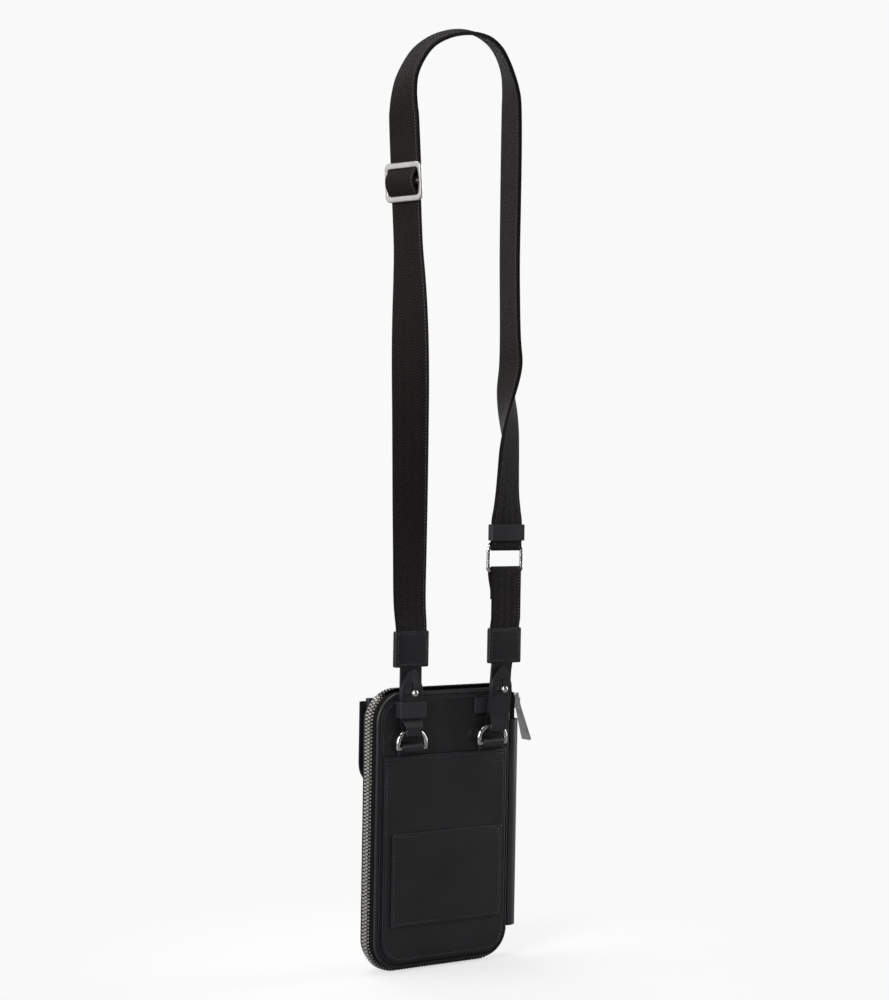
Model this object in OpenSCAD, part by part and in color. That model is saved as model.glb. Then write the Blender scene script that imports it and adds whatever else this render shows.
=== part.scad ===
// Phone pouch on a webbing strap, seen from its back: a zip-around leather case whose
// back panel carries a slip pocket, a card pocket and two D-rings for the strap.
// X runs across the pouch, Y from the back panel to the front flap, Z up.
// The origin is on the underside of the webbing, at the top of its arch.

/* [Case] */
// Width of each panel, groove to groove
panel_w = 106; // [90:1:130]
// Height of each panel, groove to groove
panel_h = 180; // [170:1:220]
// Depth of the closed case over both panels
case_d = 18; // [17:0.5:24]
// Corner radius of the panels
panel_r = 17; // [10:1:24]
// Thickness of the shell leather
leather_t = 1.6; // [1.2:0.1:2]
// Width of the rolled rim outside each panel
rim_w = 2.8; // [2.2:0.1:4]
// Thickness of the rolled rim
rim_t = 2.8; // [2:0.1:3.2]
// Radius of the half-round spine
spine_r = 9; // [8.5:0.1:11]

/* [Zip] */
// Pitch of the teeth along one row
tooth_pitch = 2.4; // [2:0.1:3.2]
// Length of one tooth along the row
tooth_l = 1.2; // [0.8:0.1:1.4]
// Reach of the teeth past the tape
tooth_reach = 2; // [1.4:0.1:2.4]
// Thickness of the zip tape
tape_t = 0.6; // [0.4:0.1:0.9]
// Radius of the zip's tight corner above the spine, to the outside of the teeth
zip_corner_r = 12.5; // [11:0.5:16]
// How far the zip reaches past the panel at that corner
zip_overhang = 11; // [9:0.5:12]
// Length of the pull tab plate
pull_l = 23; // [16:1:32]
// Width of the pull tab plate at its free end
pull_w = 9; // [6:0.5:11]

/* [Pockets] */
// Thickness of the pocket leather
pocket_t = 1.2; // [0.9:0.1:1.5]
// Room inside a flat pocket
pocket_room = 1.1; // [0.8:0.1:1.6]
// Height of the slip pocket's mouth above the panel's lower edge
slip_h = 140.5; // [110:0.5:145]
// Width of the card pocket
card_w = 92; // [88:1:98]
// Height of the card pocket
card_h = 62.5; // [56:0.5:80]
// Height of the card pocket's lower edge above the panel's lower edge
card_base = 26; // [10:1:40]

/* [Strap] */
// Width of the webbing
web_w = 25; // [20:1:30]
// Thickness of the webbing
web_t = 1.3; // [1:0.1:1.8]
// Height of the arch's top above the strap's end caps
strap_rise = 403.5; // [300:1:520]
// Distance between the two strands at the arch
strap_span = 92; // [80:1:120]
// Width of the leather end caps
cap_w = 27.3; // [26:0.1:32]
// Height of the leather end caps
cap_h = 24.3; // [18:0.1:32]
// Width of the strap tabs
tab_w = 17; // [14:0.5:17.4]
// Width of the strap tabs where they fold round the D-rings
tab_fold_w = 12; // [9:0.5:13]
// Thickness of the strap tab leather
tab_t = 1.8; // [1.4:0.1:2]

/* [Metal fittings] */
// Diameter of the D-ring wire
ring_wire_d = 3; // [2.4:0.1:3.4]
// Width of the D-rings between wire centres
dring_w = 22.5; // [21:0.5:26]
// Height of the D-rings between wire centres
dring_h = 11; // [10:0.5:14]
// Outer width of the rectangular strap ring
strap_ring_w = 31.6; // [30:0.1:36]
// Outer height of the rectangular strap ring
strap_ring_h = 19.5; // [15:0.1:24]
// Outer width of the length slider
slider_w = 31.5; // [30:0.1:36]
// Outer height of the length slider
slider_h = 26; // [24:0.5:32]
// Height of the length slider's end bars
slider_bar = 4; // [3:0.1:5]
// Diameter of the ball stud heads
stud_d = 5.2; // [4:0.1:6.5]

/* [Front] */
// Width of the front flap
flap_w = 110; // [96:1:112]
// Length of the front flap below its fold
flap_l = 57; // [40:1:100]
// Radius of the flap's lower corners
flap_r = 16; // [8:1:24]

/* [Hidden] */
$fn = 48;

// Clearance between pieces that move past each other
run_gap = 0.3;
// Overrun of every cut
cut = 0.5;
// Room between a thin insert and the pocket or loop round it
slip_gap = 0.1;

// Levels through the case's depth, for the back half
face_y = -case_d / 2;
skirt_t = 1;
skirt_in = 3;
groove_w = 0.5;
bead_r = rim_t / 2;
bead_set = 0.3;
board_y = face_y + leather_t;
lining_y = board_y + skirt_t;
tape_y = face_y + bead_set + rim_t;
tape_in = 1;
tape_q = rim_w;
wall_end = 1.8;
teeth_y0 = 2.8;
teeth_y1 = 0.15;
parted_y1 = 0.75;
band_q = tape_q + slip_gap / 2;
band_t = 0.6;
tooth_q = band_q + band_t / 2 + tooth_reach;

// The case's outline
panel_z0 = tooth_q;
panel_z1 = panel_z0 + panel_h;
half_w = panel_w / 2;
core_x = half_w - panel_r;
core_z0 = panel_z0 + panel_r;
core_z1 = panel_z1 - panel_r;

// The tight corner above the spine
tight_r = zip_corner_r - tooth_q;
tight_x = half_w + zip_overhang - zip_corner_r;
tight_z = panel_z1 - tight_r;
side_x = tight_x + tight_r;
spine_z0 = core_z0;
spine_z1 = tight_z - zip_corner_r;
spine_x = half_w + rim_w + spine_r / 5 + slip_gap;
rim_x = half_w + rim_w;
front_hinge_x = rim_x + run_gap / 2;
post_half_y = 0.4;
post_l_deg = 14;
// Angle of the bottom right corner whose front row and tape stay with the spine
kept_deg = 28;
kept_play_deg = 2;

// The zip slider's section, as distances from the tight corner's centre
plate_half_y = 4.6;
plate_t = 1.5;
lip_t = 1.3;
shoe_half_deg = 22;
shoe_half_l = zip_corner_r * sin(shoe_half_deg);
outer_r0 = sqrt(pow(zip_corner_r + run_gap, 2) + pow(shoe_half_l, 2)) + slip_gap;
outer_r1 = outer_r0 + plate_t;
lip_r0 = sqrt(pow(tight_r + tape_q, 2) + pow(shoe_half_l, 2)) + run_gap;
inner_r1 = tight_r + tape_q - tape_t - run_gap - slip_gap;
inner_r0 = inner_r1 - plate_t;

// The pull hangs from a bridge on the slider
bridge_deg = -6;
bridge_h = 3.2;
bridge_half_y = 1.1;
bridge_r = outer_r1 + bridge_h / 2;
pin_r = 0.95;
pin_fit = 0.2;
pull_t = 1.6;
pull_top_w = 5;
pull_neck = 5;
pull_lean = 19;
pull_arm_t = 1.1;

// Strap pieces, from the panel outwards
tab_gap = 1.3;
wire_r = ring_wire_d / 2;
fold_r = wire_r + run_gap;
tab_back_y = face_y - tab_gap;
tab_front_y = tab_back_y - tab_t;
wire_y = tab_front_y - fold_r;
strap_y = tab_back_y - tab_t / 2;
bar_z = panel_z0 + slip_h + dring_h / 2;
arc_z = bar_z + dring_h;
left_x = -31.5;
dring_right_x = 36.3;
tab_right_x = 38.9;
tab_lean = 9;
fold_drop_left = 0.75;
fold_drop_right = 1.25;
// The caps hang one tab length above the D-rings, and clear the case's top
tab_rise = 43;
cap_gap = 16.2;
cap_z0 = max(arc_z + tab_rise, panel_z1 + cap_gap + rim_t + tape_q - wall_end);
cap_z1 = cap_z0 + cap_h;
cap_right_x = 47.3;
cap_wall = 1.2;
cap_side = 2;
tongue_tip_z = cap_z0 - tab_t;
stud_drop = 17.2;
stud_z = cap_z0 - stud_drop;

tab_entry = 10;
kink_z0 = 3;
kink_z1 = 8;
tip_h = 12;
taper_h = 22;
slit_w = 1;
slit_l = 7;
stud_neck_r = 1.5;

// Keepers sewn to the back panel
keeper_play = 0.5;
keeper_t = 1.4;
keeper_h = 10.8;
keeper_w = tab_w + 2 * keeper_t + 2 * keeper_play;
keeper_z = arc_z + kink_z1 + keeper_h / 2 + 2 * keeper_play;
keeper_right_x = 34;
keeper_reach = tab_gap + 2 * tab_t + run_gap + keeper_t;
// The right keeper is empty and lies nearly flat behind the right tab
empty_reach = keeper_t * 1.6;
tab_bow = 2.1;

// Ring tabs under the slip pocket's mouth
ring_tab_w = 16;
ring_tab_t = 1;
ring_tab_depth = 10;

// Route of the webbing. Columns: across, as a share of half the span; up, as a share of
// the rise above the caps; twist of the outer and of the inner layer about their own
// length in degrees; and the gap between the layers, as a share of the layers' pitch.
route_share = [
    [-0.685, -0.027, 0, 0, 1], [-0.685, 0.004, 0, 0, 1], [-0.724, 0.052, -4, -4, 1],
    [-0.735, 0.134, -9, -9, 1], [-0.745, 0.217, -15, -15, 1], [-0.755, 0.3, -20, -20, 1],
    [-0.767, 0.381, -27, -27, 1], [-0.785, 0.461, -42, -42, 1], [-0.805, 0.535, -57, -57, 1],
    [-0.8251, 0.5873, -68, -68, 1], [-0.8565, 0.6417, -76, -76, 1],
    [-0.9152, 0.7409, -76, -76, 1], [-0.9739, 0.84, -76, -76, 1],
    [-0.9871, 0.8623, -76, -76, 1], [-0.988, 0.887, -76, -76, 1], [-0.95, 0.9155, -76, -76, 1],
    [-0.859, 0.944, -76, -76, 1], [-0.713, 0.9675, -75, -75, 1.05],
    [-0.476, 0.9852, -74, -74, 1.15], [-0.185, 0.9965, -73, -73, 1.15],
    [0.141, 1, -73, -73, 1.15], [0.433, 0.9965, -75, -75, 1.15], [0.67, 0.9845, -79, -79, 1.15],
    [0.815, 0.9675, -82, -82, 1.15], [0.926, 0.944, -85, -85, 1.15],
    [0.989, 0.9155, -87, -87, 1.15], [1.009, 0.887, -87, -87, 1.15],
    [1.013, 0.82, -87, -87, 1.15], [1.017, 0.729, -86, -86, 1.05], [1.021, 0.63, -85, -85, 1],
    [1.025, 0.556, -85, -85, 1], [1.033, 0.495, -84, -85, 1.6], [1.038, 0.45, -79, -84, 2.8],
    [1.042, 0.41, -61, -78, 4.4], [1.046, 0.375, -42, -63, 5.1], [1.05, 0.34, -28, -47, 4.8],
    [1.055, 0.303, -20, -33, 3.8], [1.059, 0.265, -17, -23, 2.6], [1.06, 0.23, -14, -16, 1.8],
    [1.055, 0.203, -7, -8, 1.3], [1.05, 0.182, 0, 0, 1], [1.05, 0.16, 0, 0, 1],
    [1.05, 0.1485, 0, 0, 1.15], [1.05, 0.1435, 0, 0, 2.8], [1.05, 0.1385, 0, 0, 3.35]
];
route_last = len(route_share) - 1;
apex_i = 20;
slider_i = 11;
return_i0 = 13;
steps = 3;
half_span = strap_span / 2;
layer_gap = web_t + slip_gap;

function station(i) = [
    route_share[i][0] * half_span,
    cap_z1 + route_share[i][1] * strap_rise,
    route_share[i][2],
    route_share[i][3],
    route_share[i][4] * layer_gap
];
function clamp_i(i) = min(max(i, 0), route_last);
function blend4(a, b, c, d, t) =
    0.5 * (2 * b + (c - a) * t + (2 * a - 5 * b + 4 * c - d) * t * t
    + (3 * b - a - 3 * c + d) * t * t * t);
function route_at(k) =
    let (i = min(floor(k), route_last - 1), t = k - i)
    [for (j = [0:4]) blend4(station(clamp_i(i - 1))[j], station(i)[j],
        station(i + 1)[j], station(clamp_i(i + 2))[j], t)];
function along(k) =
    let (e = 0.01, a = route_at(max(k - e, 0)), b = route_at(min(k + e, route_last)),
        d = [b[0] - a[0], b[1] - a[1]])
    d / norm(d);
// Centre, width direction and inward normal of the outer layer at k on the route, then
// the width direction and normal of the inner layer
function web_frame(k) =
    let (p = route_at(k), t = along(k), u = [t[1], 0, -t[0]], v = [0, 1, 0],
        n = cos(p[2]) * v - sin(p[2]) * u, m = (p[2] + p[3]) / 2)
    [[p[0], strap_y, p[1]], cos(p[2]) * u + sin(p[2]) * v, n,
        cos(p[3]) * u + sin(p[3]) * v, cos(p[3]) * v - sin(p[3]) * u,
        p[4] * (cos(m) * v - sin(m) * u)];
function web_ring(k, inner) =
    let (f = web_frame(k), c = f[0] + (inner ? f[5] : 0 * f[5]),
        a = (inner ? f[3] : f[1]) * web_w / 2, b = (inner ? f[4] : f[2]) * web_t / 2)
    [c - a - b, c + a - b, c + a + b, c - a + b];
hang_frame = web_frame(apex_i);
hang = hang_frame[0] + hang_frame[5] + hang_frame[4] * web_t / 2;

module place() translate(-hang) children();

// One layer of webbing swept from k0 to k1 on the route
module web_sweep(k0, k1, inner) {
    n = round((k1 - k0) * steps);
    pts = [for (i = [0:n]) each web_ring(k0 + (k1 - k0) * i / n, inner)];
    walls = [for (i = [0:n - 1], j = [0:3])
        let (a = 4 * i + j, b = 4 * i + (j + 1) % 4)
        each [[a, a + 4, b + 4], [a, b + 4, b]]];
    ends = [[0, 1, 2], [0, 2, 3], [4 * n, 4 * n + 2, 4 * n + 1], [4 * n, 4 * n + 3, 4 * n + 2]];
    polyhedron(pts, concat(walls, ends));
}

// Plane helpers: a drawing in XZ given depth along Y, and one in YZ given width along X
module xz(y0, t) translate([0, y0 + t, 0]) rotate([90, 0, 0]) linear_extrude(t) children();
module yz(w) rotate([90, 0, 90]) linear_extrude(w, center = true) children();
module to_front() mirror([0, 1, 0]) children();

// Runs of an edge profile: its x is the distance outside the panel, its y the case's Y
module on_right(z0, z1, x = half_w) translate([x, 0, z0]) linear_extrude(z1 - z0) children();
module on_left(z0, z1) mirror([1, 0, 0]) on_right(z0, z1) children();
module on_top(x0, x1, z = panel_z1)
    translate([x1, 0, z]) rotate([0, -90, 0]) linear_extrude(x1 - x0) children();
module on_bottom(x0, x1)
    translate([0, 0, panel_z0]) mirror([0, 0, 1]) on_top(x0, x1, 0) children();
module on_corner(cx, cz, r, a0, a1)
    translate([cx, 0, cz]) rotate([-90, 0, 0]) rotate([0, 0, -a0]) mirror([0, 1, 0])
        rotate_extrude(angle = a1 - a0) translate([r, 0]) children();

module rounded(x0, z0, x1, z1, r) {
    translate([x0 + r, z0]) square([x1 - x0 - 2 * r, z1 - z0]);
    translate([x0, z0 + r]) square([x1 - x0, z1 - z0 - 2 * r]);
    for (x = [x0 + r, x1 - r], z = [z0 + r, z1 - r]) translate([x, z]) circle(r);
}
module panel_shape(inset)
    rounded(-half_w + inset, panel_z0 + inset, half_w - inset, panel_z1 - inset,
        panel_r - inset);

// Shell pieces shared by the two halves
module rim_profile() {
    translate([-skirt_in, board_y]) square([skirt_in + rim_w - bead_r, skirt_t]);
    translate([groove_w, face_y + bead_set]) square([rim_w - bead_r - groove_w, rim_t]);
    translate([rim_w - bead_r, face_y + bead_set + bead_r]) circle(bead_r);
}
module rim_loop() {
    on_left(core_z0, core_z1) rim_profile();
    on_right(core_z0, core_z1) rim_profile();
    on_top(-core_x, core_x) rim_profile();
    on_bottom(-core_x, core_x) rim_profile();
    on_corner(core_x, core_z1, panel_r, 0, 90) rim_profile();
    on_corner(-core_x, core_z1, panel_r, 90, 180) rim_profile();
    on_corner(-core_x, core_z0, panel_r, 180, 270) rim_profile();
    on_corner(core_x, core_z0, panel_r, 270, 360) rim_profile();
}
module tape_plate() translate([-tape_in, tape_y]) square([tape_in + tape_q, tape_t]);
module tape_wall(y0 = tape_y)
    translate([tape_q - tape_t, y0]) square([tape_t, -wall_end - y0]);
module tape_profile() {
    tape_plate();
    tape_wall();
}
module board_shape() panel_shape(skirt_in + slip_gap);
module lining_shape() panel_shape(tape_in + slip_gap);

// Zip chain: the route runs from the spine's foot, along the bottom, up the left side,
// along the top and round the tight corner down to the spine's head.
chain_runs = [
    [1, core_x, core_z0, panel_r, 360, 270],
    [0, core_x, panel_z0, -1, 0, 2 * core_x],
    [1, -core_x, core_z0, panel_r, 270, 180],
    [0, -half_w, core_z0, 0, 1, core_z1 - core_z0],
    [1, -core_x, core_z1, panel_r, 180, 90],
    [0, -core_x, panel_z1, 1, 0, core_x + tight_x],
    [1, tight_x, tight_z, tight_r, 90, 0],
    [0, side_x, tight_z, 0, -1, tight_z - spine_z1]
];
function arc_l(r, a) = (r + band_q + tooth_reach / 2) * PI * a / 180;
function run_l(s) = s[0] == 1 ? arc_l(s[3], s[4] - s[5]) : s[5];
function sum_l(i) = i < 0 ? 0 : run_l(chain_runs[i]) + sum_l(i - 1);
chain_marks = [for (i = [0:7]) sum_l(i)];
function run_of(s) = s <= chain_marks[0] ? 0 : s <= chain_marks[1] ? 1
    : s <= chain_marks[2] ? 2 : s <= chain_marks[3] ? 3 : s <= chain_marks[4] ? 4
    : s <= chain_marks[5] ? 5 : s <= chain_marks[6] ? 6 : 7;
function chain_pt(s, q) =
    let (i = run_of(s), c = chain_runs[i], t = s - (i == 0 ? 0 : chain_marks[i - 1]),
        a = c[4] - (c[4] - c[5]) * t / run_l(c))
    c[0] == 1 ? [c[1] + (c[3] + q) * cos(a), c[2] + (c[3] + q) * sin(a)]
    : [c[1] + c[3] * t - c[4] * q, c[2] + c[4] * t + c[3] * q];
chain_l = chain_marks[7];
// The front row's ends that stay with the spine
front_s0 = arc_l(panel_r, kept_deg);
part_x = tight_x - shoe_half_l - tooth_pitch * 2 / 3;
part_s = chain_marks[4] + core_x + part_x;

// Teeth of one row between two marks, as a comb
module comb(s0, s1, phase_share) {
    first = ceil((s0 + tooth_l / 2) / tooth_pitch - phase_share);
    last = floor((s1 - tooth_l / 2) / tooth_pitch - phase_share);
    mids = [for (i = [first:last]) (i + phase_share) * tooth_pitch];
    outer = [for (m = mids) each [
        chain_pt(m - tooth_l / 2, band_q + band_t / 2),
        chain_pt(m - tooth_l / 2, tooth_q), chain_pt(m + tooth_l / 2, tooth_q),
        chain_pt(m + tooth_l / 2, band_q + band_t / 2)]];
    inner = [for (i = [last:-1:first]) chain_pt((i + phase_share) * tooth_pitch, band_q)];
    polygon(concat([chain_pt(s0, band_q), chain_pt(s0, band_q + band_t / 2)], outer,
        [chain_pt(s1, band_q + band_t / 2), chain_pt(s1, band_q)], inner));
}
back_phase_share = 0.5;
front_phase_share = 0;

// Back shell
module back_panel() place() color("dimgray") xz(face_y, leather_t) panel_shape(0);
module back_rim() place() color("dimgray") rim_loop();
module back_board() place() color("tan") xz(board_y, skirt_t) board_shape();
module back_lining() place() color("black") xz(lining_y, tape_t) lining_shape();
inner_margin = 5;
phone_pocket_h = 112;
module phone_pocket() place() color("black")
    difference() {
        xz(lining_y + tape_t, pocket_t + pocket_room)
            rounded(-half_w + inner_margin, panel_z0 + inner_margin, half_w - inner_margin,
                panel_z0 + inner_margin + phone_pocket_h, inner_margin);
        xz(lining_y + tape_t - cut, pocket_room + cut)
            translate([-half_w + 2 * inner_margin, panel_z0 + 2 * inner_margin])
                square([panel_w - 4 * inner_margin, phone_pocket_h]);
    }

// A flat sewn pocket in the XZ plane, open at its top, built outwards from y
module flat_pocket(x0, x1, z0, z1, r, y, room, seam) {
    difference() {
        xz(y - room - pocket_t, room + pocket_t) rounded(x0, z0, x1, z1, r);
        xz(y - room, room + cut) translate([x0 + seam, z0 + seam])
            square([x1 - x0 - 2 * seam, z1 - z0]);
    }
}
slip_inset = 2;
slip_seam = 2.5;
slip_z1 = panel_z0 + slip_h;
slip_out_y = face_y - pocket_room - pocket_t;
card_room = 0.3;
card_seam = 2;
card_r = 1.5;
card_x = 1;
module back_slip_pocket() place() color("dimgray") {
    difference() {
        flat_pocket(-half_w + slip_inset, half_w - slip_inset, panel_z0 + slip_inset,
            slip_z1 + panel_r, panel_r - slip_inset, face_y, pocket_room, slip_seam);
        xz(slip_out_y - cut, pocket_t + pocket_room + 2 * cut)
            translate([-half_w, slip_z1]) square([panel_w, 2 * panel_r]);
    }
}
module card_pocket() place() color("gray")
    flat_pocket(card_x - card_w / 2, card_x + card_w / 2, panel_z0 + card_base,
        panel_z0 + card_base + card_h, card_r, slip_out_y, card_room, card_seam);

// Leather loop sewn to the back panel
module keeper(reach) {
    translate([-keeper_w / 2, -reach, -keeper_h / 2])
        difference() {
            cube([keeper_w, reach, keeper_h]);
            translate([keeper_t, keeper_t, -cut])
                cube([keeper_w - 2 * keeper_t, reach, keeper_h + 2 * cut]);
        }
}
module keeper_left() place() color("dimgray")
    translate([left_x, face_y, keeper_z]) keeper(keeper_reach);
module keeper_right() place() color("dimgray")
    translate([keeper_right_x, face_y, keeper_z]) keeper(empty_reach);

// Leather tab that holds a D-ring's bar, its tail under the slip pocket's mouth
module ring_tab() {
    wrap_r = fold_r + pocket_t;
    tail_y = face_y - wire_y;
    yz(ring_tab_w) {
        difference() {
            union() {
                circle(wrap_r);
                polygon([[-wrap_r * 0.7, -wrap_r * 0.72],
                    [tail_y - ring_tab_t, slip_z1 - bar_z + slip_gap * 3],
                    [tail_y - ring_tab_t, -ring_tab_depth - wrap_r],
                    [tail_y, -ring_tab_depth - wrap_r], [tail_y, -wrap_r * 0.6],
                    [wrap_r * 0.9, wrap_r * 0.4]]);
            }
            circle(fold_r);
        }
    }
}
module ring_tab_left() place() color("dimgray")
    translate([left_x, wire_y, bar_z]) ring_tab();
module ring_tab_right() place() color("dimgray")
    translate([dring_right_x, wire_y, bar_z]) ring_tab();

// Spine: half-round leather from the back rim round to the front seam
module spine_section(from_x) intersection() {
    translate([spine_x, 0]) circle(spine_r);
    translate([from_x, -case_d]) square([case_d * 2, case_d * 2]);
}
web_leg = 1.4;
module spine() place() color("dimgray") {
    translate([0, 0, spine_z0]) linear_extrude(spine_z1 - spine_z0) {
        difference() {
            spine_section(rim_x);
            translate([spine_x, 0]) circle(spine_r - leather_t);
            translate([rim_x - cut, 0]) square([cut + run_gap, case_d]);
        }
        translate([rim_x, face_y + 2 * bead_set])
            square([web_leg, tape_y + tape_t - face_y - 2 * bead_set]);
        translate([half_w - tape_in, tape_y]) square([rim_w + tape_in + cut, tape_t]);
    }
    for (z = [spine_z0, spine_z1 - leather_t])
        translate([0, 0, z]) linear_extrude(leather_t) difference() {
            spine_section(rim_x);
            translate([rim_x - cut, -wall_end]) square([cut + run_gap, case_d]);
        }
}

// Zip tape and teeth of the back half
module back_tape() place() color("black") {
    on_corner(core_x, core_z0, panel_r, 270, 360) tape_profile();
    on_bottom(-core_x, core_x) tape_profile();
    on_corner(-core_x, core_z0, panel_r, 180, 270) tape_profile();
    on_left(core_z0, core_z1) tape_profile();
    on_corner(-core_x, core_z1, panel_r, 90, 180) tape_profile();
    on_top(-core_x, core_x) tape_profile();
    tight_corner_tape(tape_y);
}
// Tape round the tight corner, with the gusset that reaches the panel's own corner
module tight_corner_tape(y0) {
    on_top(core_x, tight_x) tape_wall(y0);
    on_corner(tight_x, tight_z, tight_r, 0, 90) tape_wall(y0);
    on_right(spine_z1, tight_z, side_x) tape_wall(y0);
    xz(y0, tape_t) difference() {
        union() {
            translate([core_x, core_z1]) square([tight_x - core_x, panel_z1 + tape_q - core_z1]);
            translate([tight_x, tight_z]) intersection() {
                circle(tight_r + tape_q);
                square(tight_r + tape_q);
            }
            translate([core_x, spine_z1]) square([side_x + tape_q - core_x, tight_z - spine_z1]);
        }
        intersection() {
            panel_shape(tape_in);
            square([panel_w, panel_h * 2]);
        }
    }
}
module back_teeth() place() color("silver") {
    xz(-teeth_y0, teeth_y0 - teeth_y1) comb(0, part_s, back_phase_share);
    xz(-teeth_y0, teeth_y0 - parted_y1) comb(part_s + slip_gap, chain_l, back_phase_share);
}
// The front row's two ends, which stay with the spine when the front swings open
module corner_teeth() place() color("silver") {
    xz(parted_y1, teeth_y0 - parted_y1) comb(part_s + run_gap, chain_l, front_phase_share);
    xz(teeth_y1, teeth_y0 - teeth_y1) comb(0, front_s0 - run_gap, front_phase_share);
}
module corner_tape() place() color("black") to_front() {
    difference() {
        tight_corner_tape(tape_y + run_gap);
        translate([-half_w, -case_d, 0]) cube([half_w + part_x + run_gap, 2 * case_d, 2 * panel_h]);
    }
    on_corner(core_x, core_z0, panel_r, 360 - kept_deg + kept_play_deg, 360)
        tape_wall(tape_y + run_gap);
}

// Front shell, hinged at the spine's front seam
module front_panel() place() color("dimgray") to_front() xz(face_y, leather_t) panel_shape(0);
module front_rim() place() color("dimgray") to_front() rim_loop();
module front_board() place() color("tan") to_front() xz(board_y, skirt_t) board_shape();
module front_lining() place() color("black") to_front() xz(lining_y, tape_t) lining_shape();
module front_tape() place() color("black") to_front() {
    on_corner(core_x, core_z0, panel_r, 270, 360 - kept_deg) tape_profile();
    on_bottom(-core_x, core_x) tape_profile();
    on_corner(-core_x, core_z0, panel_r, 180, 270) tape_profile();
    on_left(core_z0, core_z1) tape_profile();
    on_corner(-core_x, core_z1, panel_r, 90, 180) tape_profile();
    on_top(-core_x, core_x) tape_profile();
    on_top(core_x, part_x - run_gap) tape_wall();
}
module front_teeth() place() color("silver")
    xz(teeth_y1, teeth_y0 - teeth_y1)
        comb(front_s0 + run_gap, part_s - run_gap, front_phase_share);
slot_h = 54;
slot_step = 16;
slot_n = 3;
module card_slots() place() color("black") to_front()
    for (i = [0:slot_n - 1])
        xz(lining_y + tape_t, pocket_t * (slot_n - i) / slot_n)
            intersection() {
                panel_shape(inner_margin);
                translate([-half_w, panel_z0])
                    square([panel_w, inner_margin + slot_h + i * slot_step]);
            }
// Drop of the front pocket's mouth below the panel's upper edge, behind the flap
front_pocket_drop = 22;
front_pocket_h = panel_h - front_pocket_drop;
module front_pocket() place() color("dimgray") to_front()
    flat_pocket(-half_w + slip_inset, half_w - slip_inset, panel_z0 + slip_inset,
        panel_z0 + front_pocket_h, panel_r - slip_inset, face_y, pocket_room, slip_seam);
// Front flap on its sewn anchor strip, and the magnetic snap behind it
flap_t = 1.6;
snap_t = 0.9;
snap_r = 7;
snap_rise = 12;
front_out_y = case_d / 2 + pocket_room + pocket_t;
flap_y = front_out_y + 2 * snap_t + run_gap;
flap_axis_y = flap_y + flap_t / 2;
flap_axis_z = panel_z1 - 5;
anchor_h = 6;
anchor_inset = 4;
module flap_anchor() place() color("dimgray")
    translate([-flap_w / 2 + anchor_inset, case_d / 2, flap_axis_z - anchor_h / 2])
        cube([flap_w - 2 * anchor_inset - rim_w, flap_y - run_gap - case_d / 2, anchor_h]);
module front_flap() place() color("dimgray") {
    translate([0, flap_axis_y, flap_axis_z]) rotate([0, 90, 0])
        cylinder(h = flap_w, d = flap_t, center = true);
    intersection() {
        xz(flap_y, flap_t) rounded(-flap_w / 2, flap_axis_z - flap_l, flap_w / 2,
            flap_axis_z + flap_l, flap_r);
        translate([-flap_w, flap_y - cut, flap_axis_z - flap_l - cut])
            cube([flap_w * 2, flap_t + 2 * cut, flap_l + cut]);
    }
}
module snap_disc(y) translate([0, y, flap_axis_z - flap_l + snap_rise + snap_r])
    rotate([-90, 0, 0]) cylinder(h = snap_t, r = snap_r);
module snap_base() place() color("silver") snap_disc(front_out_y);
module snap_cap() place() color("silver") snap_disc(flap_y - snap_t);

// Zip slider on the tight corner: two plates, side lips and the post between the rows
module shoe_arc(a0, a1) rotate([-90, 0, 0]) rotate([0, 0, -a1])
    rotate_extrude(angle = a1 - a0) children();
module zip_slider() place() color("silver") translate([tight_x, 0, tight_z]) {
    shoe_arc(-shoe_half_deg, shoe_half_deg) {
        translate([outer_r0, -plate_half_y]) square([plate_t, 2 * plate_half_y]);
        for (y = [-plate_half_y, plate_half_y - lip_t])
            translate([lip_r0, y]) square([outer_r0 - lip_r0 + cut, lip_t]);
        translate([inner_r0, -plate_half_y]) square([plate_t, 2 * plate_half_y]);
    }
    shoe_arc(-shoe_half_deg, post_l_deg - shoe_half_deg)
        translate([inner_r1 - cut, -post_half_y])
            square([outer_r0 - inner_r1 + 2 * cut, 2 * post_half_y]);
    rotate([0, -bridge_deg, 0]) difference() {
        translate([outer_r1 - cut, -bridge_half_y, -bridge_h])
            cube([bridge_h + cut + pin_fit, 2 * bridge_half_y, 2 * bridge_h]);
        translate([bridge_r, 0, 0]) rotate([90, 0, 0])
            cylinder(h = 4 * bridge_half_y, r = pin_r + pin_fit, center = true);
    }
}
pull_x = tight_x + bridge_r * cos(bridge_deg);
pull_z = tight_z + bridge_r * sin(bridge_deg);
module zip_pull() place() color("silver")
    translate([pull_x, 0, pull_z]) rotate([0, -pull_lean, 0]) {
        rotate([90, 0, 0]) cylinder(h = pull_top_w, r = pin_r, center = true);
        for (s = [-1, 1]) translate([-pull_t / 2, s * (pull_top_w - pull_arm_t) / 2 - pull_arm_t / 2,
            -pull_neck - pin_r]) cube([pull_t, pull_arm_t, pull_neck + 2 * pin_r]);
        translate([-pull_t / 2, 0, 0]) rotate([90, 0, 90]) linear_extrude(pull_t)
            polygon([[-pull_top_w / 2, -pull_neck], [pull_top_w / 2, -pull_neck],
                [pull_w / 2, -pull_neck - pull_l], [-pull_w / 2, -pull_neck - pull_l]]);
    }

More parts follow.
